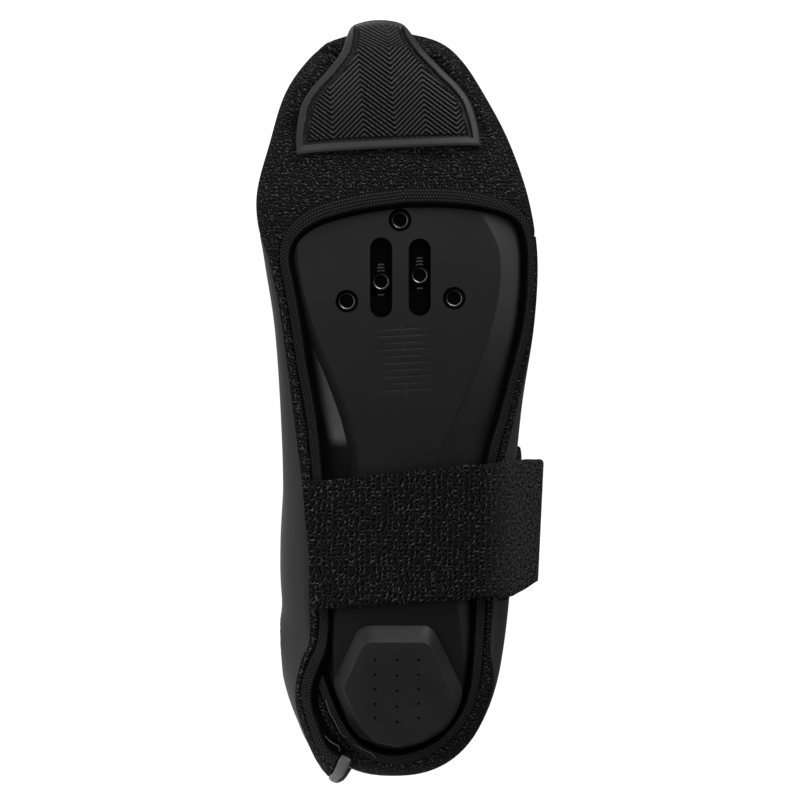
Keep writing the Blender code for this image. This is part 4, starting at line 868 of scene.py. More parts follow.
knit_strip("lateral_knit_strip", LATERAL, "rand_lateral")
knit_strip("medial_knit_strip", MEDIAL, "rand_medial")

# Binding: a black elastic tape folded over the raw edge of the whole opening and sewn through. Its weave
# Its weave has close cross ribs on several cords, so it looks like a net of small beads; the rib tops and the
# fold's crest are painted lighter as highlight, and the gaps between the cords and the inner leg are painted
# dark as shade.
RIB_PITCH = 1.15
RIB_HEIGHT = 0.14
RING_STEP = 0.23
BINDING_FRONT = 0.5
BINDING_FRONT_STEPS = 40.0
RIB_SHADING_TONE = 0.055
BINDING_TONE = (0.0, 0.010)
SHADE_TONE = 0.0006
BindingPoint = namedtuple("BindingPoint", "out lift ribbed plain row")
# In the profile, ribbed sets the height of a cord's ribs and their painted highlight, and plain adds a tone
# step per row: a painted highlight on the fold's crest, and painted shade between the cords and on the inner
# leg
BINDING_PROFILE = [
    BindingPoint(-0.50, -3.30, 0.0, -0.20, 0), BindingPoint(-0.30, -2.70, 0.0, -0.20, 0),
    BindingPoint(0.0, -1.80, 0.0, -0.20, 0), BindingPoint(0.35, -1.00, 0.0, -0.15, 0),
    BindingPoint(0.75, -0.35, 0.1, -0.05, 0), BindingPoint(1.10, -0.05, 0.2, 0.08, 0),
    BindingPoint(1.45, 0.25, 0.8, 0.08, 0), BindingPoint(1.80, 0.15, 0.05, -0.03, 0),
    BindingPoint(2.20, 0.45, 1.0, 0.03, 1), BindingPoint(2.60, 0.25, 0.05, -0.03, 1),
    BindingPoint(3.00, 0.50, 1.0, 0.03, 2), BindingPoint(3.40, 0.25, 0.05, -0.03, 2),
    BindingPoint(3.80, 0.42, 1.0, 0.03, 3), BindingPoint(4.20, 0.10, 0.05, -0.03, 3),
    BindingPoint(4.65, -0.15, 0.2, 0.0, 3), BindingPoint(4.80, -2.40, 0.0, 0.0, 0),
    BindingPoint(1.20, -3.00, 0.0, -0.1, 0),
]


def closed_rings(rings):
    """Rings of a sweep with each end drawn in to its middle, so that the ends close."""
    ends = [np.broadcast_to(ring.mean(axis=0), ring.shape)[None] for ring in (rings[0], rings[-1])]
    return np.concatenate([ends[0], rings, ends[1]])


out, lift, ribbed, plain, row = np.array(BINDING_PROFILE).T[:, None, :]
binding_rings, binding_rib_shading = [], []
for edge in (LATERAL, MEDIAL):
    steps = int(run_along(edge.curve)[-1] / RING_STEP)
    place = np.linspace(0.0, EDGE_STEPS - 1.0, steps)
    place = place[1:, None] if edge is MEDIAL else place[::-1, None]
    run = place / (EDGE_STEPS - 1.0) * steps * RING_STEP
    ribs = ribbed * (0.5 + 0.5 * np.cos(2.0 * math.pi * run / RIB_PITCH + math.pi * row))
    # The tape lies flatter, and so wider, where it runs across the front
    wider = 1.0 + BINDING_FRONT * ease((edge.turn - place) / BINDING_FRONT_STEPS) * (out > 0.0)
    t, share = chart_to_form(edge_at(edge, place, out * wider))
    ribbed_lift = strip_lift(edge, t, share) + lift + RIB_HEIGHT * (ribs - 0.5 * ribbed)
    binding_rings.append(on_form(t, share, ribbed_lift))
    binding_rib_shading.append(ribs + plain)
binding_rings = closed_rings(np.concatenate(binding_rings))
binding_rib_shading = np.pad(np.concatenate(binding_rib_shading), ((1, 1), (0, 0)))

ribbed_tape, tree, shader = new_material("ribbed_tape", 0.8, 0.05)
rib_shading_field = field_of(tree, "rib")
object_place = object_coords(tree)
yarn = noise_of(tree, object_place, 1900.0, 3.0, 0.65)
# Painted light and shade: lighter rib tops and fold crest, dark gaps between cords and a dark inner leg
tone = work(tree, "MULTIPLY_ADD", rib_shading_field, RIB_SHADING_TONE, spread(tree, yarn, *BINDING_TONE))
link_to(shader, "Base Color", work(tree, "MAXIMUM", tone, SHADE_TONE))
bump_on(tree, shader, work(tree, "MULTIPLY", yarn, 0.12))
add_piece("edge_binding", binding_rings.reshape(-1, 3),
          grid_faces(*binding_rings.shape[:2], closed=True), [ribbed_tape], ["binding"],
          {"rib": binding_rib_shading.reshape(-1)}, sharp=75.0)

# Closure tape: a light grey tape folded over the free edge of the medial flap, from the binding up to the
# collar, with its raw end showing at the sole. It is a woven tape with a dull reflective face.
TAPE_GAP = 0.7
TAPE_STEPS = 260
TAPE_WAVER = 0.12
TWILL_TONE = (0.13, 0.22)
TAPE_SOIL = (0.7, 1.1)
TapePoint = namedtuple("TapePoint", "out lift")
TAPE_PROFILE = [
    TapePoint(TAPE_GAP, 0.45), TapePoint(1.6, 0.55), TapePoint(2.6, 0.50), TapePoint(3.4, 0.30),
    TapePoint(3.95, -0.30), TapePoint(4.1, -1.1), TapePoint(3.9, -1.9), TapePoint(3.2, -2.35),
    TapePoint(2.0, -2.40), TapePoint(TAPE_GAP, -2.35),
]
medial_t, medial_share, _ = halves[1]
strip_end = edge_at(MEDIAL, EDGE_STEPS - 1.0, np.linspace(1.0, MEDIAL.curve[-1, 2], 5)[:-1])
wall_end = np.stack([np.interp(medial_t[::7, -1], BACK_T, BACK_RUN),
                     medial_share[::7, -1] * girth_at(medial_t[::7, -1])], axis=1)
tape_path = spline_through(np.vstack([strip_end, wall_end[1:]]), TAPE_STEPS)
tape_out = outward(tape_path, 1.0)
tape_profile = np.array(TAPE_PROFILE)
tape_place = tape_path[:, None, :] + tape_out[:, None, :] * tape_profile[None, :, :1]
t, share = chart_to_form(tape_place)
waver = TAPE_WAVER * np.sin(np.arange(TAPE_STEPS) * 0.21)[:, None]
tape_rings = closed_rings(on_form(t, share, lap_lift(t, share) + tape_profile[None, :, 1] + waver))
tape_cloth = np.concatenate([tape_place[:1], tape_place, tape_place[-1:]])
tape_cloth = np.pad(tape_cloth, ((0, 0), (0, 0), (0, 1)))

grey_tape, tree, shader = new_material("grey_tape", 0.55, 0.3)
cloth = field_of(tree, "cloth", "Vector")
twill = {"Vector": cloth, "Scale": 0.75, "Distortion": 0.6, "Detail": 1.0}
twill = add_node(tree, "ShaderNodeTexWave", twill, bands_direction="DIAGONAL").outputs["Fac"]
soil = spread(tree, noise_of(tree, cloth, 0.35, 3.0), *TAPE_SOIL)
tone = work(tree, "MULTIPLY", spread(tree, twill, *TWILL_TONE, 0.0, 1.0), soil)
link_to(shader, "Base Color", tone)
bump_on(tree, shader, work(tree, "MULTIPLY", twill, 0.06))
add_piece("closure_edge_tape", tape_rings.reshape(-1, 3),
          grid_faces(*tape_rings.shape[:2], closed=True), [grey_tape], ["closure_tape"],
          {"cloth": tape_cloth.reshape(-1, 3)}, sharp=60.0)

# Toe guard: a moulded rubber bumper glued and sewn to the knit under the toe. A flat rim and a fine bead
# frame a field of herringbone ribs, and its front end runs up over the toe tip as a small plain cap.
GUARD_TILT = math.radians(35.0)
GUARD_LIFT = 0.5
GUARD_REAR = 196.0
GUARD_SLANT = 1.5
GUARD_SLANT_RUN = 30.0
GUARD_RIM = 2.65
GUARD_FRAME = 3.85
GUARD_HEIGHT = 2.5
GUARD_FLOOR = 0.7
GUARD_NOSE = 1.0
GUARD_NOSE_REACH = 43.0
GUARD_SHOULDER = 3.0
GUARD_CAP_REACH = 50.0
GUARD_BASE = 0.3
GUARD_GRID = (250, 196)
COARSE_GRID = (72, 48)
BEAD_SHARE = 0.7
BEAD_WIDTH = 0.28
EDGE_ROUND = 0.5
CHEVRON_PITCH = 1.88
CHEVRON_PERIOD = 23.25
CHEVRON_SLOPE = 0.87
CHEVRON_TURN = math.radians(4.3)
CHEVRON_PEAK = 4.8
CHEVRON_START = 0.3
CHEVRON_HEIGHT = 1.4
RIDGE_END = 0.74
RIDGE_SLOPE = 0.18
TOE_TURN = 275.0
RIM_SIDE_SHADE = 0.64
RIM_SIDE_SHADE_LEAN = 0.08
RUBBER_TONE = (0.035, 0.047)
RUBBER_ROUGH = (0.42, 0.55)
RUBBER_SHADE = (1.0, 0.18)
NEWTON_STEPS = 60
NEWTON_DAMPING = 0.7
NEWTON_REACH = 0.006
GuardRow = namedtuple("GuardRow", "reach centre half")
GUARD_ROWS = [
    GuardRow(0.0, -4.2, 34.2), GuardRow(8.0, -4.8, 33.4), GuardRow(17.0, -5.3, 31.1),
    GuardRow(23.0, -5.35, 27.4), GuardRow(29.5, -5.4, 21.5), GuardRow(37.5, -6.3, 15.4),
    GuardRow(44.0, -7.4, 12.6), GuardRow(50.0, -8.0, 11.4), GuardRow(54.0, -8.4, 10.2),
    GuardRow(56.4, -8.5, 7.6),
]


def from_star(star):
    """Section and share at a place of a flat star about the toe tip: distance gives t, turn the share."""
    return np.hypot(star[0], star[1]), np.arctan2(star[1], star[0]) / math.pi


def toe_plane(reach, across):
    """Place on the star under a place of a plane tilted up at the toe, by Newton steps from the sole line."""
    t = t_at_along(np.minimum(reach / math.cos(GUARD_TILT) * 0.985, 279.0))
    share = (across - sole_centre(t)) / girth_at(t)
    star = np.stack([t * np.cos(math.pi * share), t * np.sin(math.pi * share)])
    direction = np.array([math.cos(GUARD_TILT), 0.0, math.sin(GUARD_TILT)])
    step = 4e-4
    for _ in range(NEWTON_STEPS):
        here = point_on(*from_star(star))
        miss_reach, miss_across = reach - here @ direction, across - here[..., 1]
        by_first = (point_on(*from_star([star[0] + step, star[1]])) - here) / step
        by_second = (point_on(*from_star([star[0], star[1] + step])) - here) / step
        a, b = by_first @ direction, by_second @ direction
        c, d = by_first[..., 1], by_second[..., 1]
        det = a * d - b * c
        det = np.where(np.abs(det) < 1.0, np.where(det < 0.0, -1.0, 1.0), det)
        move = np.stack([d * miss_reach - b * miss_across, a * miss_across - c * miss_reach]) / det
        star = star + np.clip(NEWTON_DAMPING * move, -NEWTON_REACH, NEWTON_REACH)
    return star


def on_finer_grid(values, shape):
    """Values of a coarse grid on a finer one, by straight steps along each way in turn."""
    rows = column_at(values, np.linspace(0.0, values.shape[0] - 1.0, shape[0]))
    return column_at(rows.T, np.linspace(0.0, values.shape[1] - 1.0, shape[1])).T


guard_rows = spline_through(GUARD_ROWS, 200)
guard_end = GUARD_ROWS[-1].reach
coarse_reach = np.linspace(0.0, guard_end, COARSE_GRID[0])[:, None]
coarse_x = np.linspace(-1.0, 1.0, COARSE_GRID[1])[None, :]
guard_centre = np.interp(coarse_reach, guard_rows[:, 0], guard_rows[:, 1])
guard_half = np.interp(coarse_reach, guard_rows[:, 0], guard_rows[:, 2])
coarse_lean = GUARD_SLANT * np.clip(1.0 - coarse_reach / GUARD_SLANT_RUN, 0.0, 1.0) * coarse_x
coarse_star = toe_plane(GUARD_REAR + coarse_reach + coarse_lean, guard_centre + guard_half * coarse_x)
guard_t, guard_share = from_star([on_finer_grid(values, GUARD_GRID) for values in coarse_star])
reach = np.linspace(0.0, guard_end, GUARD_GRID[0])[:, None]
x = np.linspace(-1.0, 1.0, GUARD_GRID[1])[None, :]
half = np.interp(reach, guard_rows[:, 0], guard_rows[:, 2])
slope = np.gradient(half[:, 0], reach[:, 0])[:, None]
from_side = (1.0 - np.abs(x)) * half / np.sqrt(1.0 + slope ** 2)
from_edge = np.minimum(from_side, np.minimum(reach, guard_end - reach) + 0.0 * x)
beside = ease((reach - from_side) / 1.5 + 0.5)

# Herringbone: rows along a line turned a little from the shoe's own, each row a zigzag across it
skin_along, skin_across, _ = np.moveaxis(on_form(guard_t, guard_share, np.full(GUARD_GRID, 2.0)), -1, 0)
row_along = skin_along + 0.6 * np.maximum(skin_along - TOE_TURN, 0.0)
row_place = math.cos(CHEVRON_TURN) * row_along - math.sin(CHEVRON_TURN) * skin_across
row_across = math.cos(CHEVRON_TURN) * skin_across + math.sin(CHEVRON_TURN) * skin_along
half_period = 0.5 * CHEVRON_PERIOD
zigzag = np.abs(np.mod(row_across - CHEVRON_PEAK + half_period, CHEVRON_PERIOD) - half_period)
phase = np.mod((row_place + CHEVRON_SLOPE * zigzag) / CHEVRON_PITCH + CHEVRON_START, 1.0)
ridge = ease(phase / RIDGE_SLOPE) * ease((RIDGE_END - phase) / RIDGE_SLOPE)
cap = ease((reach - GUARD_CAP_REACH) / 1.2) + 0.0 * x
rim = 1.0 - ease((from_edge - GUARD_RIM + 0.15) / 0.3)
bead = np.exp(-((from_edge - GUARD_FRAME - 0.25) / BEAD_WIDTH) ** 2) * beside
inside = ease((from_edge - GUARD_FRAME - 0.6 * beside) / 0.3)
relief = np.maximum(np.maximum(BEAD_SHARE * bead, inside * ridge), rim)
relief = relief * (1.0 - cap) + cap
guard_height = GUARD_FLOOR + (GUARD_HEIGHT - GUARD_FLOOR) * rim + CHEVRON_HEIGHT * (1.0 - rim) * relief
guard_height = guard_height - EDGE_ROUND * np.exp(-(from_edge / 0.35) ** 2)
# Towards the toe tip the guard swells to a nose and its sides round off
guard_height = guard_height + GUARD_NOSE * ease((reach - GUARD_NOSE_REACH) / 9.0) * (1.0 - x ** 2)
shoulder = 1.0 - np.clip(1.0 - from_side / GUARD_SHOULDER, 0.0, 1.0) ** 2
guard_height = guard_height * (1.0 + ease((reach - GUARD_NOSE_REACH) / 8.0) * (np.sqrt(shoulder) - 1.0))
guard_outer = on_form(guard_t, guard_share, GUARD_LIFT + guard_height)
guard_inner = on_form(guard_t, guard_share, np.full(GUARD_GRID, GUARD_BASE))
# Painted shade: the grooves and the floor between the ribs are painted dark, and the rim is painted darker
# down the sides, more on the lateral side and less towards the nose
rim_side_shade = (RIM_SIDE_SHADE + RIM_SIDE_SHADE_LEAN * x) * rim * beside * (1.0 - 0.6 * ease((reach - 40.0) / 8.0))
guard_shade = np.concatenate([np.maximum(1.0 - relief, rim_side_shade).reshape(-1), np.ones(guard_t.size)])

rubber, tree, shader = new_material("moulded_rubber", 0.5, 0.4)
object_place = object_coords(tree)
grain = noise_of(tree, object_place, 3200.0, 2.0)
cloudy = noise_of(tree, object_place, 60.0, 3.0)
shade = field_of(tree, "shade")
shade = spread(tree, shade, *RUBBER_SHADE, 0.0, 1.0)
tone = work(tree, "MULTIPLY", spread(tree, cloudy, *RUBBER_TONE), shade)
link_to(shader, "Base Color", tone)
link_to(shader, "Roughness", spread(tree, cloudy, *RUBBER_ROUGH))
bump_on(tree, shader, work(tree, "MULTIPLY", grain, 0.03))
add_thick("toe_bumper", guard_outer, guard_inner, rubber, "toe_guard",
          {"shade": guard_shade}, 48.0)

# Sole plate: the stiff composite sole of the shoe inside, seen through the opening. Its flat cleat field
# has three bolt holes, two slots and a moulded scale of fine grooves; its sides rise to the fabric.
PlateRow = namedtuple("PlateRow", "along up medial lateral reach_medial reach_lateral")
PLATE_ROWS = [
    PlateRow(266.0, 19.0, -14.0, 1.0, 0.4, 0.4), PlateRow(262.0, 16.4, -22.0, 9.0, 0.6, 0.6),
    PlateRow(252.0, 11.6, -29.0, 17.0, 0.8, 0.8), PlateRow(234.0, 6.6, -34.0, 25.0, 0.9, 0.9),
    PlateRow(215.0, 4.6, -38.0, 29.6, 0.9, 1.0), PlateRow(200.0, 4.2, -38.6, 36.6, 0.8, 1.0),
    PlateRow(185.0, 4.2, -36.6, 37.3, 0.45, 1.0), PlateRow(170.0, 4.2, -32.4, 34.2, 0.05, 1.0),
    PlateRow(157.0, 5.0, -27.0, 29.8, 0.0, 1.0), PlateRow(144.0, 6.6, -21.8, 24.4, 0.0, 1.0),
    PlateRow(131.0, 8.4, -17.6, 18.4, 0.0, 0.95), PlateRow(115.0, 10.0, -15.4, 13.0, 0.0, 0.9),
    PlateRow(92.0, 10.6, -16.0, 14.0, 0.2, 0.85), PlateRow(70.0, 9.4, -22.0, 20.4, 0.4, 0.8),
    PlateRow(58.0, 8.8, -24.4, 22.6, 0.4, 0.8), PlateRow(42.0, 8.2, -25.0, 23.4, 0.5, 0.7),
    PlateRow(26.0, 8.2, -21.6, 20.6, 0.4, 0.5), PlateRow(16.0, 8.4, -16.0, 12.0, 0.2, 0.3),
    PlateRow(12.6, 8.8, -9.0, 4.0, 0.1, 0.1),
]
PLATE_UNDER = 4.2
PLATE_THICK = 4.0
BEVEL_OUT = 3.6
BEVEL_UP = 3.0
WALL_CLEAR = 1.2
SIDE_REACH = 30.0
HEEL_REACH = (8.0, 40.0)
Bolt = namedtuple("Bolt", "node along across")
BOLTS = [
    Bolt("insert_front", 210.0, 0.0), Bolt("insert_medial", 179.5, -20.0),
    Bolt("insert_lateral", 180.6, 20.4),
]
BOLT_HOLE = 4.0
Slot = namedtuple("Slot", "node across rear front nut_along")
SLOTS = [
    Slot("slot_nut_medial", -7.1, 173.6, 203.2, 186.9), Slot("slot_nut_lateral", 7.4, 174.2, 202.8, 189.3),
]
SLOT_WIDTH = 7.8
HOLE_DEPTH = 3.7
HOLE_EDGE = 0.3
SCALE_START = 169.2
SCALE_PITCH = 2.55
SCALE_LINES = 10
SCALE_CENTRE = 1.7
SCALE_LEAN = 0.062
SCALE_TURN = 0.05
SCALE_MIDDLE = 155.0
SCALE_SHORT = 6.5
SCALE_LONG = 9.4
SCALE_BREAK = (153.2, 161.6)
GROOVE_WIDTH = 0.28
GROOVE_DEPTH = 0.22
FIELD_ALONG = (215.0, 172.0)
PLATE_TONE = (0.0155, 0.0195)
PLATE_ROUGH = (0.38, 0.50)
PLATE_GRAIN = (-0.0012, 0.0012)
HEEL_SHADE = (1.0, 0.15, -0.05, 0.085)
WING_LIGHT_TONE = 0.020
WING_LIGHT_SPAN = (-0.045, 0.012)
CREASE_SHADE = -0.55
HOLE_SHADE_TONE = (0.001, 0.003)

smooth_rows = spline_through(PLATE_ROWS, 600)


def plate_value(along, column):
    """A column of the plate table at places along the shoe."""
    return np.interp(-along, -smooth_rows[:, 0], smooth_rows[:, column])


def side_wall(along, side, edge):
    """Where a side of the sole meets the fabric: a girth outside the flat edge, held near the widest place,
    and a shorter one towards the back of the heel."""
    t = t_at_along(along)
    values = section_at(t)
    half = 0.5 * (values[:, 5] - values[:, 4])
    away = np.abs(edge - 0.5 * (values[:, 4] + values[:, 5]))
    span = SIDE_REACH * np.clip((along - HEEL_REACH[0]) / HEEL_REACH[1], 0.12, 1.0)
    girth = np.maximum(away + 3.0, np.minimum(half + 1.0, away + span))
    return on_form(t, side * girth / girth_at(t), np.full(len(along), -WALL - WALL_CLEAR))


def sole_grid(along, flat_steps, side_steps, full_reach):
    """Underside of the sole, a flat middle between straight sides; its roof; and shares across the sides."""
    up = plate_value(along, 1)
    edges = [plate_value(along, 2), plate_value(along, 3)]
    flat = edges[0][:, None] + (edges[1] - edges[0])[:, None] * flat_steps[None, :]
    grids, roofs = [], []
    for side, edge, column in ((-1.0, edges[0], 4), (1.0, edges[1], 5)):
        wall = side_wall(along, side, edge)
        start = np.stack([along, edge, up], axis=1)
        bevel = start + np.array([0.0, side * BEVEL_OUT, BEVEL_UP])
        reach = plate_value(along, column)[:, None]
        tip = wall if full_reach else bevel + (wall - bevel) * reach
        run = start[:, None, :] + (tip - start)[:, None, :] * side_steps[None, :, None]
        share = (run[..., 1] - edge[:, None]) / (wall[:, 1] - edge)[:, None]
        grids.append(run)
        roofs.append(up[:, None] + share * (wall[:, 2] - up)[:, None])
    middle = np.stack(np.broadcast_arrays(along[:, None], flat, up[:, None]), axis=-1)
    under = np.concatenate([grids[0][:, ::-1], middle, grids[1]], axis=1)
    roof = np.concatenate([roofs[0][:, ::-1], np.broadcast_to(up[:, None], flat.shape), roofs[1]], axis=1)
    shares = np.concatenate([-side_steps[::-1], np.zeros(len(flat_steps)), side_steps])
    return under, roof, np.broadcast_to(shares[None, :], roof.shape)


scale_end = SCALE_START - SCALE_PITCH * (SCALE_LINES + 1)
plate_ends = (PLATE_ROWS[0].along, PLATE_ROWS[-1].along)
# Rows and columns lie closer on the cleat field, and closest on the scale
plate_along = np.concatenate([
    np.linspace(plate_ends[0], FIELD_ALONG[0] + 1.0, 12), np.linspace(*FIELD_ALONG, 50)[:-1],
    np.linspace(FIELD_ALONG[1], scale_end, 104)[:-1], np.linspace(scale_end, plate_ends[1], 50)])
flat_share = np.unique(np.concatenate([np.linspace(0.0, 1.0, 76), np.linspace(0.44, 0.60, 56)]))
side_share = np.concatenate([[0.012, 0.04], np.linspace(0.1, 1.0, 10)])
plate_under, plate_roof, plate_side = sole_grid(plate_along, flat_share, side_share, False)
plate_shape = plate_under.shape[:2]

# The scale: alternate short and long grooves across, and one groove along them
along = plate_under[..., 0]
scale_x = plate_under[..., 1] - SCALE_CENTRE + SCALE_LEAN * (along - SCALE_MIDDLE)
scale_place = (SCALE_START - along + SCALE_TURN * scale_x) / SCALE_PITCH
scale_line = np.round(scale_place)
scale_half = np.where(np.mod(scale_line, 2) == 0, SCALE_SHORT, SCALE_LONG)
shown = (scale_line >= 0) & (scale_line < SCALE_LINES) & (plate_side == 0.0)
shown = shown * (1.0 - ease((np.abs(scale_x) - scale_half) / 0.5))
from_line = (scale_place - scale_line) * SCALE_PITCH
across_groove = np.exp(-(from_line / GROOVE_WIDTH) ** 2) * shown
broken = 1.0 - ease((along - SCALE_BREAK[0]) / 0.8) * ease((SCALE_BREAK[1] - along) / 0.8)
broken = broken * ease(along - scale_end - 2.0) * (1.0 - ease(along - SCALE_START - 2.0))
along_groove = np.exp(-(scale_x / GROOVE_WIDTH) ** 2) * broken
plate_under[..., 2] += GROOVE_DEPTH * np.maximum(across_groove, along_groove)

hole_shapes = [(bolt.along, bolt.along, bolt.across, BOLT_HOLE) for bolt in BOLTS]
hole_shapes += [(slot.rear + 0.5 * SLOT_WIDTH, slot.front - 0.5 * SLOT_WIDTH, slot.across, 0.5 * SLOT_WIDTH)
                for slot in SLOTS]
under_points = plate_under.reshape(-1, 3)
under_faces = grid_faces(*plate_shape)
hole_points, hole_faces = [], []
hole_count = 2 * len(under_points)
for rear, front, across, radius in hole_shapes:
    # Faces inside the hole are left out, the points round it move on to its outline, and walls go up from it
    axis_along = np.clip(under_points[:, 0], rear, front)
    axis_point = np.column_stack([axis_along, np.full(len(under_points), across)])
    middle = under_points[under_faces].mean(axis=1)
    off_axis = np.hypot(middle[:, 0] - np.clip(middle[:, 0], rear, front), middle[:, 1] - across)
    inside = off_axis < radius + HOLE_EDGE
    lip = np.intersect1d(under_faces[inside], under_faces[~inside])
    under_faces = under_faces[~inside]
    away = unit(under_points[lip, :2] - axis_point[lip])
    under_points[lip, :2] = axis_point[lip] + away * (radius + HOLE_EDGE)
    loop_edges = free_edges(under_faces)
    loop_edges = loop_edges[np.isin(loop_edges, lip).all(axis=1)]
    place_of = np.zeros(len(under_points), dtype=int)
    place_of[lip] = np.arange(len(lip))
    lower = loop_edges
    for ring_radius, rise in ((radius, HOLE_EDGE), (radius, HOLE_DEPTH), (0.0, HOLE_DEPTH)):
        ring = np.column_stack([axis_point[lip] + away * ring_radius, under_points[lip, 2] + rise])
        upper_edges = hole_count + place_of[loop_edges]
        hole_faces.append(np.column_stack([lower, upper_edges[:, ::-1]]))
        hole_points.append(ring)
        hole_count += len(lip)
        lower = upper_edges
roof_points = plate_under.reshape(-1, 3).copy()
roof_points[:, 2] = plate_roof.reshape(-1) + PLATE_THICK
all_faces = grid_faces(*plate_shape)
rim_edges = free_edges(all_faces)
plate_faces = np.vstack([under_faces, all_faces[:, ::-1] + len(under_points),
                         np.column_stack([rim_edges, rim_edges[:, ::-1] + len(under_points)]), *hole_faces])
plate_points = np.vstack([under_points, roof_points, *hole_points])
wing_field = np.tile(plate_side.reshape(-1), 2)
wing_field = np.append(wing_field, np.zeros(hole_count - len(wing_field)))

composite, tree, shader = new_material("composite_plate", 0.42, 0.35)
object_place = object_coords(tree)
wing = field_of(tree, "wing")
cloudy = noise_of(tree, object_place, 22.0, 3.0)
grain = noise_of(tree, object_place, 2400.0, 2.0)
to_heel = part_of(tree, object_place, 0)
tone = work(tree, "ADD", spread(tree, cloudy, *PLATE_TONE), spread(tree, grain, *PLATE_GRAIN))
# Painted shade: the tone grows darker towards the heel
tone = work(tree, "MULTIPLY", tone, spread(tree, to_heel, *HEEL_SHADE))
# The sides are painted lighter towards the toe as light, and a dark crease painted as shade parts them from
# the flat face
wing_light = spread(tree, wing, 0.0, 1.0, 0.03, 0.06)
wing_light = work(tree, "MULTIPLY", wing_light, spread(tree, to_heel, 1.0, 0.0, *WING_LIGHT_SPAN))
tone = work(tree, "MULTIPLY_ADD", wing_light, WING_LIGHT_TONE, tone)
crease = spread(tree, wing, 0.0, 1.0, 0.0, 0.010)
crease = work(tree, "SUBTRACT", crease, spread(tree, wing, 0.0, 1.0, 0.014, 0.034))
tone = work(tree, "MULTIPLY", tone, work(tree, "MULTIPLY_ADD", crease, CREASE_SHADE, 1.0))
link_to(shader, "Base Color", tone)
link_to(shader, "Roughness", spread(tree, cloudy, *PLATE_ROUGH))
bump_on(tree, shader, work(tree, "MULTIPLY", grain, 0.02))

# The walls and floors of the holes are painted near black as shade
hole_shade, tree, shader = new_material("hole_shade", 0.8, 0.05)
object_place = object_coords(tree)
link_to(shader, "Base Color", spread(tree, noise_of(tree, object_place, 2400.0), *HOLE_SHADE_TONE))
plate_skin = np.zeros(len(plate_faces))
plate_skin[len(plate_faces) - sum(map(len, hole_faces)):] = 1
add_piece("cleat_plate", plate_points, plate_faces, [composite, hole_shade], ["sole_plate"],
          {"wing": wing_field}, skin=plate_skin, sharp=24.0)

# Insole margin: the cupped board and cloth margin of the shoe above its sole plate. It shows as a grey
# lens beside the plate on the medial side, where the plate's edge is bevelled back.
INSOLE_THICK = 2.6
INSOLE_GAP = 0.8
MARGIN_EDGE = (146.0, -31.0)
MARGIN_LEAN = 0.22
MARGIN_SOFT = 4.5
MARGIN_REAR = 124.5
MARGIN_OUTER = -45.0
MARGIN_FADE = 4.0
MARGIN_TONE = (0.19, 0.24)
MARGIN_CLOUDS = (-0.05, 0.05)
MARGIN_SHADE_TONE = 0.003

insole_under, insole_roof, _ = sole_grid(np.linspace(*plate_ends, 140), np.linspace(0.0, 1.0, 20),
                                         np.linspace(0.0, 1.0, 50)[1:], True)
insole_under = insole_under + np.array([0.0, 0.0, PLATE_THICK + INSOLE_GAP])
insole_over = insole_under.copy()
insole_over[..., 2] = insole_roof + PLATE_THICK + INSOLE_GAP + INSOLE_THICK
# The cloth is painted pale as light only in a lens on the medial side, inside a slanting line, and painted
# dark as shade everywhere else
along, across = insole_under[..., 0], insole_under[..., 1]
margin_rise = across - MARGIN_EDGE[1] - MARGIN_LEAN * (MARGIN_EDGE[0] - along)
margin_lit = ease(margin_rise / MARGIN_SOFT + 0.2) * ease((along - MARGIN_REAR) / MARGIN_FADE)
margin_lit = margin_lit * ease((across - MARGIN_OUTER) / MARGIN_FADE) * (across < 0.0)

margin_cloth, tree, shader = new_material("margin_cloth", 0.6, 0.3)
object_place = object_coords(tree)
grain = noise_of(tree, object_place, 1700.0, 3.0)
cloudy = noise_of(tree, object_place, 40.0, 2.0)
# Painted light in the lens and painted shade outside it
bright_share = field_of(tree, "bright_share")
tone = work(tree, "ADD", spread(tree, grain, *MARGIN_TONE), spread(tree, cloudy, *MARGIN_CLOUDS))
link_to(shader, "Base Color", work(tree, "MULTIPLY_ADD", tone, bright_share, MARGIN_SHADE_TONE))
bump_on(tree, shader, work(tree, "MULTIPLY", grain, 0.05))
add_thick("insole_margin", insole_under, insole_over, margin_cloth, "insole",
          {"bright_share": np.tile(margin_lit.reshape(-1), 2)}, 40.0)

# Cleat fixings: blackened steel. Three threaded inserts are moulded into the bolt holes, and two nuts with
# a few cross ridges slide in the slots; the handling has rubbed their edges bright, and painted highlight
# adds to this brightness, more on one side of each ring.
Fixing = namedtuple("Fixing", "outer bore start depth sunk")
INSERT = Fixing(3.7, 2.5, 0.35, 2.7, 0.8)
NUT = Fixing(3.5, 2.4, 0.3, 2.0, 1.6)
THREAD_PITCH = 0.6
THREAD_DEPTH = 0.26
RING_SIDES = 56
STEEL_TONE = (0.42, 0.008)
STEEL_ROUGH = (0.22, 0.38)
RingPoint = namedtuple("RingPoint", "radius sunk rubbed")


def thread_profile(fixing):
    """Radial profile: rounded edge, flat face, bright chamfer, then a saw-tooth thread down to a floor."""
    outer, bore, start, depth, _ = fixing
    rows = [RingPoint(outer, depth, 0.0), RingPoint(outer, 0.15, 0.0), RingPoint(outer - 0.15, 0.0, 0.06),
            RingPoint(bore + 0.40, 0.0, 0.02), RingPoint(bore + 0.32, 0.03, 0.8),
            RingPoint(bore + 0.10, 0.20, 0.8), RingPoint(bore, start, 0.02)]
    rows += [RingPoint(bore - THREAD_DEPTH * (k % 2), start + 0.5 * THREAD_PITCH * k, 0.12 * (k % 2))
             for k in range(1, 7)]
    return np.array(rows + [RingPoint(0.0, start + 3.0 * THREAD_PITCH, 0.0), RingPoint(0.0, depth, 0.0)])


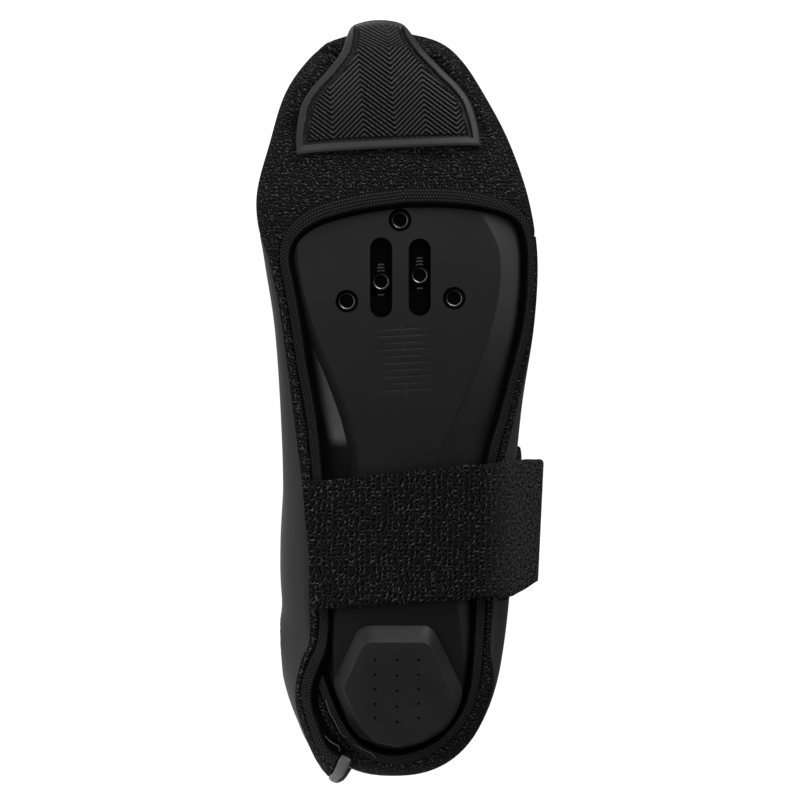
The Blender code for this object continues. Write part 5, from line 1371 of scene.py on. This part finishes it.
def ring_grid(fixing, along, across):
    """The radial profile turned about an upright axis, its rings joined up, and its rubbed edges painted
    brighter on one side as highlight.
    """
    profile = thread_profile(fixing)
    angle = np.linspace(0.0, 2.0 * math.pi, RING_SIDES, endpoint=False)[None, :]
    radius, low = profile[:, :1], PLATE_UNDER + fixing.sunk + profile[:, 1:2]
    points = np.stack([along + radius * np.cos(angle), across + radius * np.sin(angle), low + 0.0 * angle],
                      axis=-1)
    faces = grid_faces(len(profile), RING_SIDES, closed=True)
    first = np.arange(RING_SIDES)
    last = (len(profile) - 1) * RING_SIDES + first
    bridge = np.stack([last, np.roll(last, -1), np.roll(first, -1), first], axis=1)
    # Painted highlight: the rubbed edges are brighter on one side of the ring
    bright_share = profile[:, 2:3] * (0.18 + 0.82 * ease(0.5 - 0.75 * np.cos(angle + 0.4)))
    return points.reshape(-1, 3), np.vstack([faces, bridge]), bright_share.reshape(-1)


dark_steel, tree, shader = new_material("dark_steel", 0.3, 0.5)
shader.inputs["Metallic"].default_value = 1.0
rubbed = field_of(tree, "rubbed")
object_place = object_coords(tree)
grain = noise_of(tree, object_place, 1500.0, 2.0)
rubbed = work(tree, "MULTIPLY", rubbed, spread(tree, grain, 0.4, 1.2))
link_to(shader, "Base Color", work(tree, "MULTIPLY_ADD", rubbed, *STEEL_TONE))
link_to(shader, "Roughness", spread(tree, grain, *STEEL_ROUGH))


def add_fixing(node, points, faces, rubbed):
    """One insert or nut with its thread."""
    add_piece(node + "_thread", points, faces, [dark_steel], [node], {"rubbed": rubbed},
              sharp=30.0)


for bolt in BOLTS:
    add_fixing(bolt.node, *ring_grid(INSERT, bolt.along, bolt.across))

Ridge = namedtuple("Ridge", "off half")
NUT_RIDGES = [Ridge(4.0, 1.5), Ridge(5.2, 1.5), Ridge(6.4, 1.2), Ridge(-4.9, 1.2)]
RIDGE_SUNK = 3.5
RIDGE_RUBBED_AND_GLINT = 0.35
RIDGE_HALF_WIDTH = 0.36
RIDGE_RISE = 0.16
RIDGE_BOW = 0.12
RIDGE_GRID = (9, 10)


def ridge_bar(along, across, low, half):
    """A low rounded bar across the slot: an ellipse carried along a bowed line, drawn in at the ends."""
    u = np.linspace(-1.0, 1.0, RIDGE_GRID[0])[:, None]
    angle = np.linspace(0.0, 2.0 * math.pi, RIDGE_GRID[1], endpoint=False)[None, :]
    size = np.sqrt(np.maximum(1.0 - u ** 6, 0.0))
    points = np.stack([along + RIDGE_HALF_WIDTH * size * np.cos(angle) - RIDGE_BOW * u ** 2,
                       across + half * u + 0.0 * angle, low + RIDGE_RISE * size * np.sin(angle)], axis=-1)
    return points.reshape(-1, 3), grid_faces(*RIDGE_GRID, closed=True)


for slot in SLOTS:
    points, faces, rubbed = ring_grid(NUT, slot.nut_along, slot.across)
    for ridge in NUT_RIDGES:
        bar_points, bar_faces = ridge_bar(slot.nut_along + ridge.off, slot.across, PLATE_UNDER + RIDGE_SUNK,
                                          ridge.half)
        faces = np.vstack([faces, bar_faces + len(points)])
        points = np.vstack([points, bar_points])
        rubbed = np.concatenate([rubbed, np.full(len(bar_points), RIDGE_RUBBED_AND_GLINT)])
    add_fixing(slot.node, points, faces, rubbed)

# Heel pad: a replaceable moulded rubber walking pad screwed under the heel. Its chamfered sides lead up to
# a flat face with a fine cross-hatch near the edge and fifteen pinholes in three columns.
PAD_CENTRE = (36.2, -1.0)
PAD_FOOT = 2.6
PAD_TOP = 7.9
PAD_GRID = 261
PAD_SIDE_STEPS = 12
PAD_ROUND = 0.07
PadPoint = namedtuple("PadPoint", "along across face_along face_across")
PAD_OUTLINE = [
    PadPoint(57.5, -12.6, 51.1, -12.2), PadPoint(57.5, 10.7, 51.1, 10.0), PadPoint(54.6, 13.4, 49.6, 11.6),
    PadPoint(34.1, 23.4, 33.5, 18.8), PadPoint(29.8, 23.2, 29.6, 20.2), PadPoint(23.6, 20.8, 24.2, 19.0),
    PadPoint(18.3, 17.0, 19.3, 16.0), PadPoint(13.6, 9.4, 14.5, 9.0), PadPoint(11.3, -0.6, 12.1, -0.6),
    PadPoint(13.0, -9.4, 13.9, -8.9), PadPoint(17.2, -14.6, 18.2, -13.6), PadPoint(24.0, -20.0, 25.0, -17.6),
    PadPoint(31.0, -23.6, 30.6, -20.0), PadPoint(36.3, -25.3, 33.8, -21.4),
    PadPoint(55.5, -16.0, 49.8, -14.0),
]
PadStep = namedtuple("PadStep", "level inwards height")
PAD_STEPS = [
    PadStep(0.0, 1.0, 0.0), PadStep(1.0, 1.0, 0.0), PadStep(1.03, 0.90, 0.42), PadStep(1.20, 0.03, 5.1),
    PadStep(1.23, 0.0, PAD_TOP - PAD_FOOT), PadStep(1.32, 0.0, PAD_TOP),
]
PinColumn = namedtuple("PinColumn", "across start pitch")
PIN_COLUMNS = [PinColumn(-9.3, 44.4, 5.44), PinColumn(-1.05, 44.5, 5.86), PinColumn(7.0, 44.4, 5.44)]
PIN_ROWS = 5
PIN_RADIUS = 0.38
PIN_DEPTH = 0.9
HATCH_PITCH = 1.6
HATCH_HEIGHT = 0.06
HATCH_LEVEL = 0.72
HATCH_REAR = 26.0
HATCH_LIGHT = 0.35
SIDE_REAR = 14.0
PAD_TONE = (0.0145, 0.019)
PAD_ROUGH = (0.42, 0.54)
PIN_SHADE = (1.0, 0.1)
FACE_SHADE = (0.52, 1.1)


def pad_radius(corners, angle):
    """Distance from the pad's middle to an outline of straight sides at each angle, its corners rounded."""
    corners = corners - np.array(PAD_CENTRE)
    place = np.arange(len(corners) * PAD_SIDE_STEPS) / PAD_SIDE_STEPS
    fine = column_at(np.vstack([corners, corners[:1]]), place)
    turn = np.arctan2(fine[:, 1], fine[:, 0])
    spans = np.linspace(-PAD_ROUND, PAD_ROUND, 9)
    return np.mean([np.interp(angle + span, turn, np.hypot(fine[:, 0], fine[:, 1]), period=2.0 * math.pi)
                    for span in spans], axis=0)


u = np.linspace(-1.0, 1.0, PAD_GRID)
grid_a, grid_b = np.meshgrid(u, u, indexing="ij")
level = np.maximum(np.abs(grid_a), np.abs(grid_b)) * PAD_STEPS[-1].level
pad_angle = np.arctan2(grid_b, grid_a)
pad_steps = np.array(PAD_STEPS)
pad_corners = np.array(PAD_OUTLINE)
inwards = np.interp(level, pad_steps[:, 0], pad_steps[:, 1])
outer_radius, face_radius = (pad_radius(pad_corners[:, pair], pad_angle) for pair in ([0, 1], [2, 3]))
pad_r = (outer_radius + (face_radius - outer_radius) * inwards) * np.minimum(level, 1.0)
along, across = PAD_CENTRE[0] + pad_r * np.cos(pad_angle), PAD_CENTRE[1] + pad_r * np.sin(pad_angle)
near_edge = ease((level - HATCH_LEVEL) / 0.2) * (level <= 1.0) * ease((along - HATCH_REAR) / 6.0)
hatch_turn = 2.0 * math.pi / HATCH_PITCH
hatch = np.cos(hatch_turn * (along + across)) * np.cos(hatch_turn * (along - across))
# Painted light: the chamfered sides are painted lighter than the face except towards the rear, and the tops
# of the cross-hatch get a painted highlight
pad_light = ease((level - 0.985) / 0.03) * ease((along - SIDE_REAR) / 10.0)
pad_light = pad_light + HATCH_LIGHT * near_edge * (hatch > 0.2)
pin_depth = np.zeros(level.shape)
for pin in PIN_COLUMNS:
    pin_row = np.clip(np.round((pin.start - along) / pin.pitch), 0, PIN_ROWS - 1)
    away = np.hypot(along - pin.start + pin.pitch * pin_row, across - pin.across)
    pin_depth = np.maximum(pin_depth, 1.0 - ease((away - 0.6 * PIN_RADIUS) / (0.9 * PIN_RADIUS)))
pad_up = np.interp(level, pad_steps[:, 0], pad_steps[:, 2])
pad_up = pad_up + HATCH_HEIGHT * hatch * near_edge + PIN_DEPTH * pin_depth
pad_flat = np.stack([along, across, pad_up], axis=-1).reshape(-1, 3)
# The back closes on two points at the middle, which merge into one
pad_faces = grid_faces(PAD_GRID, PAD_GRID)
pad_rim = free_edges(pad_faces)
pad_middle = np.array([[PAD_CENTRE[0], PAD_CENTRE[1], PAD_TOP]])
pad_cap = np.column_stack([pad_rim, np.full((len(pad_rim), 2), len(pad_flat))])
pad_cap[:, 3] = len(pad_flat) + 1

pad_rubber, tree, shader = new_material("pad_rubber", 0.48, 0.4)
object_place = object_coords(tree)
cloudy = noise_of(tree, object_place, 70.0, 3.0)
grain = noise_of(tree, object_place, 2800.0, 2.0)
pit = field_of(tree, "pit")
side = field_of(tree, "side")
# Painted shade in the pinholes, and painted light on the chamfers and the hatch tops against a darker face
tone = work(tree, "MULTIPLY", spread(tree, cloudy, *PAD_TONE), spread(tree, pit, *PIN_SHADE, 0.0, 1.0))
tone = work(tree, "MULTIPLY", tone, spread(tree, side, *FACE_SHADE, 0.0, 1.0))
link_to(shader, "Base Color", tone)
link_to(shader, "Roughness", spread(tree, cloudy, *PAD_ROUGH))
bump_on(tree, shader, work(tree, "MULTIPLY", grain, 0.03))
pad_fields = {"pit": np.append(pin_depth, [0.0, 0.0]), "side": np.append(pad_light, [0.0, 0.0])}
add_piece("walking_pad", np.vstack([pad_flat, pad_middle, pad_middle]), np.vstack([pad_faces, pad_cap]),
          [pad_rubber], ["heel_pad"], pad_fields, sharp=35.0)

# Arch strap: a wide band of coarse looped webbing, sewn to the medial strip and drawn across the arch. Its
# loops stand in close columns, and its lateral end is a plain tab of fine pile, cut off at a slant.
StrapPoint = namedtuple("StrapPoint", "across up thick")
STRAP_PATH = [
    StrapPoint(-36.4, 7.6, 2.0), StrapPoint(-34.0, 6.5, 2.0), StrapPoint(-29.0, 5.1, 2.0),
    StrapPoint(-10.0, 4.5, 2.0), StrapPoint(10.0, 4.4, 2.0), StrapPoint(30.0, 5.2, 2.0),
    StrapPoint(38.0, 6.2, 2.0), StrapPoint(42.2, 7.15, 1.9), StrapPoint(46.0, 8.2, 1.65),
    StrapPoint(50.0, 9.8, 1.6), StrapPoint(53.8, 12.0, 1.6),
]
STRAP_FRONT = (111.4, 119.4)
STRAP_REAR = (63.0, 68.6)
STRAP_EDGES_AT = (-36.4, 42.0)
STRAP_MEDIAL_CUT = 4.4
TAB_LATERAL_CUT = 2.6
TAB_ACROSS = 42.2
TAB_REAR_RISE = 0.5
TAB_ROUND = 2.4
STRAP_WIDTH = 50.0
STRAP_GRID = (190, 104)
STRAP_YARN = Yarn((2.05, 1.62), 0.80, math.radians(-45.0), 0.80, 0.078, 0.0115, 0.30, 30.0)
LOOPS_END = 36.0
LOOPS_FADE = 7.0
LOOPS_HEIGHT = 0.10

strap_line = spline_through(STRAP_PATH, 400)
strap_run = run_along(strap_line)
tangent = unit(np.gradient(strap_line[:, :2], axis=0))
# Columns and rows lie closer along the strap's edges
x = np.linspace(-1.0, 1.0, STRAP_GRID[1])
x = (np.sign(x) * np.abs(x) ** 0.8)[None, :]
e = np.linspace(-1.0, 1.0, STRAP_GRID[0])
e = (np.sign(e) * (1.0 - (1.0 - np.abs(e)) ** 1.12))[:, None]
to_front = 0.5 * (1.0 + x)
start, end = STRAP_MEDIAL_CUT * (1.0 - to_front), strap_run[-1] - TAB_LATERAL_CUT * (1.0 - to_front)
corner = np.clip((to_front - 1.0) * STRAP_WIDTH / TAB_ROUND + 1.0, 0.0, 1.0)
end = end - TAB_ROUND * (1.0 - np.sqrt(1.0 - corner ** 2))
place = start + (end - start) * 0.5 * (1.0 + e)
strap_across, strap_up, strap_thick = (np.interp(place, strap_run, strap_line[:, k]) for k in range(3))
way_across, way_up = (np.interp(place, strap_run, tangent[:, k]) for k in range(2))
to_lateral = (strap_across - STRAP_EDGES_AT[0]) / (STRAP_EDGES_AT[1] - STRAP_EDGES_AT[0])
front = STRAP_FRONT[0] + (STRAP_FRONT[1] - STRAP_FRONT[0]) * to_lateral
rear = STRAP_REAR[0] + (STRAP_REAR[1] - STRAP_REAR[0]) * to_lateral
rear = rear + TAB_REAR_RISE * np.maximum(strap_across - TAB_ACROSS, 0.0)
waver = 0.18 * np.sin(strap_across * 0.33) + 0.12 * np.sin(strap_across * 0.81 + 1.0)
strap_along = 0.5 * (front + rear) + (0.5 * (front - rear) + waver) * x
fullness = ((1.0 - np.abs(x) ** 40) * (1.0 - np.abs(e) ** 90)) ** 0.5
loops_at = LOOPS_HEIGHT * (1.0 - ease((strap_across - LOOPS_END) / LOOPS_FADE))
loops_up = np.sin(0.9 * strap_across + 0.4 * strap_along) * np.sin(1.1 * strap_along - 0.2 * strap_across)
drops = [0.5 * strap_thick * (1.0 + fullness) + loops_at * loops_up, 0.5 * strap_thick * (1.0 - fullness)]
strap_skins = [np.stack([strap_along, strap_across + way_up * drop, strap_up - way_across * drop], axis=-1)
               for drop in drops]
strap_cloth = np.stack([strap_across, -strap_along, np.zeros(STRAP_GRID)], axis=-1)
strap_knit = knit_material("strap_knit", STRAP_YARN)


def strap_part(name, rows, node):
    """Some rows of the strap's grid as a closed piece."""
    return add_thick(name, strap_skins[0][rows], strap_skins[1][rows], strap_knit, node,
                     {"cloth": for_both(strap_cloth[rows])}, 70.0)


tab_row = int(np.argmin(np.abs(strap_across[:, STRAP_GRID[1] // 2] - TAB_ACROSS)))
strap = strap_part("arch_strap", slice(0, tab_row + 1), "strap")
strap_part("strap_end_tab", slice(tab_row, STRAP_GRID[0]), "strap_tab")

# Landing patch: a rounded panel of the same looped fabric as the toe, where the strap's tab takes hold. It is
# sewn flat on the lateral wall along its edge, and only its upper corner shows beside the strap.
PATCH_ALONG = (61.0, 116.0)
PATCH_GIRTH = (37.5, 74.0)
PATCH_THICK = 1.4
PATCH_EDGE = 0.3
PATCH_BACK = 0.15
PATCH_CORNER = 0.12
PATCH_GRID = (88, 64)


def on_patch(v, w):
    """Section and share of girth at a place of the patch: each way runs from -1 to 1 about its middle."""
    ends = t_at_along(np.array(PATCH_ALONG))
    t = ends.mean() - 0.5 * (ends[1] - ends[0]) * v
    girth = np.mean(PATCH_GIRTH) + 0.5 * (PATCH_GIRTH[1] - PATCH_GIRTH[0]) * w
    return t, girth / girth_at(t)


v = np.linspace(1.0, -1.0, PATCH_GRID[0])[:, None]
w = np.linspace(-1.0, 1.0, PATCH_GRID[1])[None, :]
t, share = on_patch(v * (1.0 - PATCH_CORNER * np.abs(w) ** 6), w * (1.0 - PATCH_CORNER * np.abs(v) ** 6))
patch_full = ((1.0 - np.abs(v) ** 30) * (1.0 - np.abs(w) ** 30)) ** 0.5
patch_outer = on_form(t, share, GAP + PATCH_THICK * (PATCH_EDGE + (1.0 - PATCH_EDGE) * patch_full))
add_thick("landing_patch", patch_outer, on_form(t, share, np.full(PATCH_GRID, GAP - PATCH_BACK)), toe_knit,
          "strap_patch", {"cloth": for_both(chart_cloth(t, share))}, 60.0)

# Sewing: grey polyester thread. Short stitches hold the medial strip, the grey tape and the patch,
# and three loose ends of thread lie on the cloth where the back closure was sewn.
STITCH_LONG = 1.0
STITCH_WIDE = 0.16
STITCH_SUNK = 0.10
STITCH_SIDES = 6
STITCH_STEPS = 5
STRIP_STITCHES = 32
STRIP_STITCH_ENDS = (6.0, 40.0)
STRIP_STITCH_LIFT = 0.35
TAPE_STITCH_START = 8
TAPE_STITCH_OUT = 2.1
TAPE_STITCH_PITCH = 3.2
TAPE_STITCH_LIFT = 0.62
PATCH_STITCHES = 61
PATCH_STITCH_IN = 0.92
PATCH_STITCH_CORNER = 0.10
PATCH_STITCH_LIFT = 0.08
THREAD_RADIUS = 0.15
THREAD_STEPS = 40
THREAD_TONE = (0.06, 0.16)
ThreadPoint = namedtuple("ThreadPoint", "along across lift")
LOOSE_ENDS = [
    [ThreadPoint(28.3, -27.9, 1.0), ThreadPoint(23.0, -26.4, 1.0), ThreadPoint(20.8, -24.9, 1.0),
     ThreadPoint(16.6, -22.7, 1.0), ThreadPoint(14.7, -21.1, 1.0), ThreadPoint(14.7, -20.0, 0.8)],
    [ThreadPoint(15.1, -26.8, 4.9), ThreadPoint(13.2, -24.2, 5.0), ThreadPoint(12.1, -21.5, 5.0),
     ThreadPoint(9.8, -21.1, 5.2)],
    [ThreadPoint(12.5, -17.7, 1.0), ThreadPoint(10.6, -13.6, 0.9), ThreadPoint(9.4, -10.6, 0.9),
     ThreadPoint(7.5, -8.7, 0.8)],
]


def thread_rings(line, normal, radius):
    """Round section carried along each line, the radius given at every step: rings listed line by line."""
    way = unit(np.gradient(line, axis=-2))
    side = unit(np.cross(normal, way))
    over = np.cross(way, side)
    angle = np.linspace(0.0, 2.0 * math.pi, STITCH_SIDES, endpoint=False)[:, None]
    return line[..., None, :] + radius[..., None, None] * (
        np.cos(angle) * side[..., None, :] + np.sin(angle) * over[..., None, :])


def stitch_row(t, share, lift):
    """Stitches along a row of places of the form, each a small capsule that follows the row."""
    centre, normal = on_form(t, share, lift), normal_on(t, share)
    way = unit(np.gradient(centre, axis=0))
    u = np.linspace(-1.0, 1.0, STITCH_STEPS)[None, :, None]
    line = centre[:, None, :] + STITCH_LONG * u * way[:, None, :] - STITCH_SUNK * u ** 4 * normal[:, None, :]
    radius = np.broadcast_to(STITCH_WIDE * np.sqrt(1.0 - u[..., 0] ** 2), line.shape[:2])
    return thread_rings(line, np.broadcast_to(normal[:, None, :], line.shape), radius)


# A row along the medial strip, one along the tape and one round the patch
place = np.linspace(MEDIAL.turn + STRIP_STITCH_ENDS[0], EDGE_STEPS - STRIP_STITCH_ENDS[1], STRIP_STITCHES)
t, share = chart_to_form(edge_at(MEDIAL, place, 0.5 * (BINDING_WIDTH + band_at(MEDIAL, place))))
stitch_grids = [stitch_row(t, share, strip_lift(MEDIAL, t, share) + STRIP_STITCH_LIFT)]
row = (tape_path + tape_out * TAPE_STITCH_OUT)[TAPE_STITCH_START:]
t, share = chart_to_form(spline_through(row, int(run_along(row)[-1] / TAPE_STITCH_PITCH)))
stitch_grids.append(stitch_row(t, share, lap_lift(t, share) + TAPE_STITCH_LIFT))
angle = np.linspace(0.0, 2.0 * math.pi, PATCH_STITCHES)
v, w = np.cos(angle), np.sin(angle)
long_way, short_way = np.maximum(np.abs(v), np.abs(w)), np.minimum(np.abs(v), np.abs(w))
size = PATCH_STITCH_IN / long_way * (1.0 - PATCH_STITCH_CORNER * short_way ** 2)
t, share = on_patch(v * size, w * size)
stitch_grids.append(stitch_row(t, share, np.full(len(t), GAP + PATCH_THICK + PATCH_STITCH_LIFT)))

radius = THREAD_RADIUS * np.sqrt(1.0 - np.linspace(-1.0, 1.0, THREAD_STEPS) ** 8)
for end in LOOSE_ENDS:
    rows = spline_through(end, THREAD_STEPS)
    t = t_at_along(rows[:, 0])
    share = (rows[:, 1] - sole_centre(t)) / girth_at(t)
    stitch_grids.append(thread_rings(on_form(t, share, rows[:, 2]), normal_on(t, share), radius)[None])
thread_points, thread_faces, thread_count = [], [], 0
for grid in stitch_grids:
    one = grid_faces(grid.shape[1], STITCH_SIDES, closed=True)
    offsets = thread_count + np.arange(grid.shape[0])[:, None, None] * grid.shape[1] * STITCH_SIDES
    thread_faces.append((one[None] + offsets).reshape(-1, 4))
    thread_points.append(grid.reshape(-1, 3))
    thread_count += thread_points[-1].shape[0]

grey_thread, tree, shader = new_material("grey_thread", 0.6, 0.3)
object_place = object_coords(tree)
twist = noise_of(tree, object_place, 1600.0, 2.0)
link_to(shader, "Base Color", spread(tree, twist, *THREAD_TONE))
bump_on(tree, shader, work(tree, "MULTIPLY", twist, 0.06))
add_piece("sewing_threads", np.vstack(thread_points), np.vstack(thread_faces), [grey_thread], [],
          sharp=80.0)
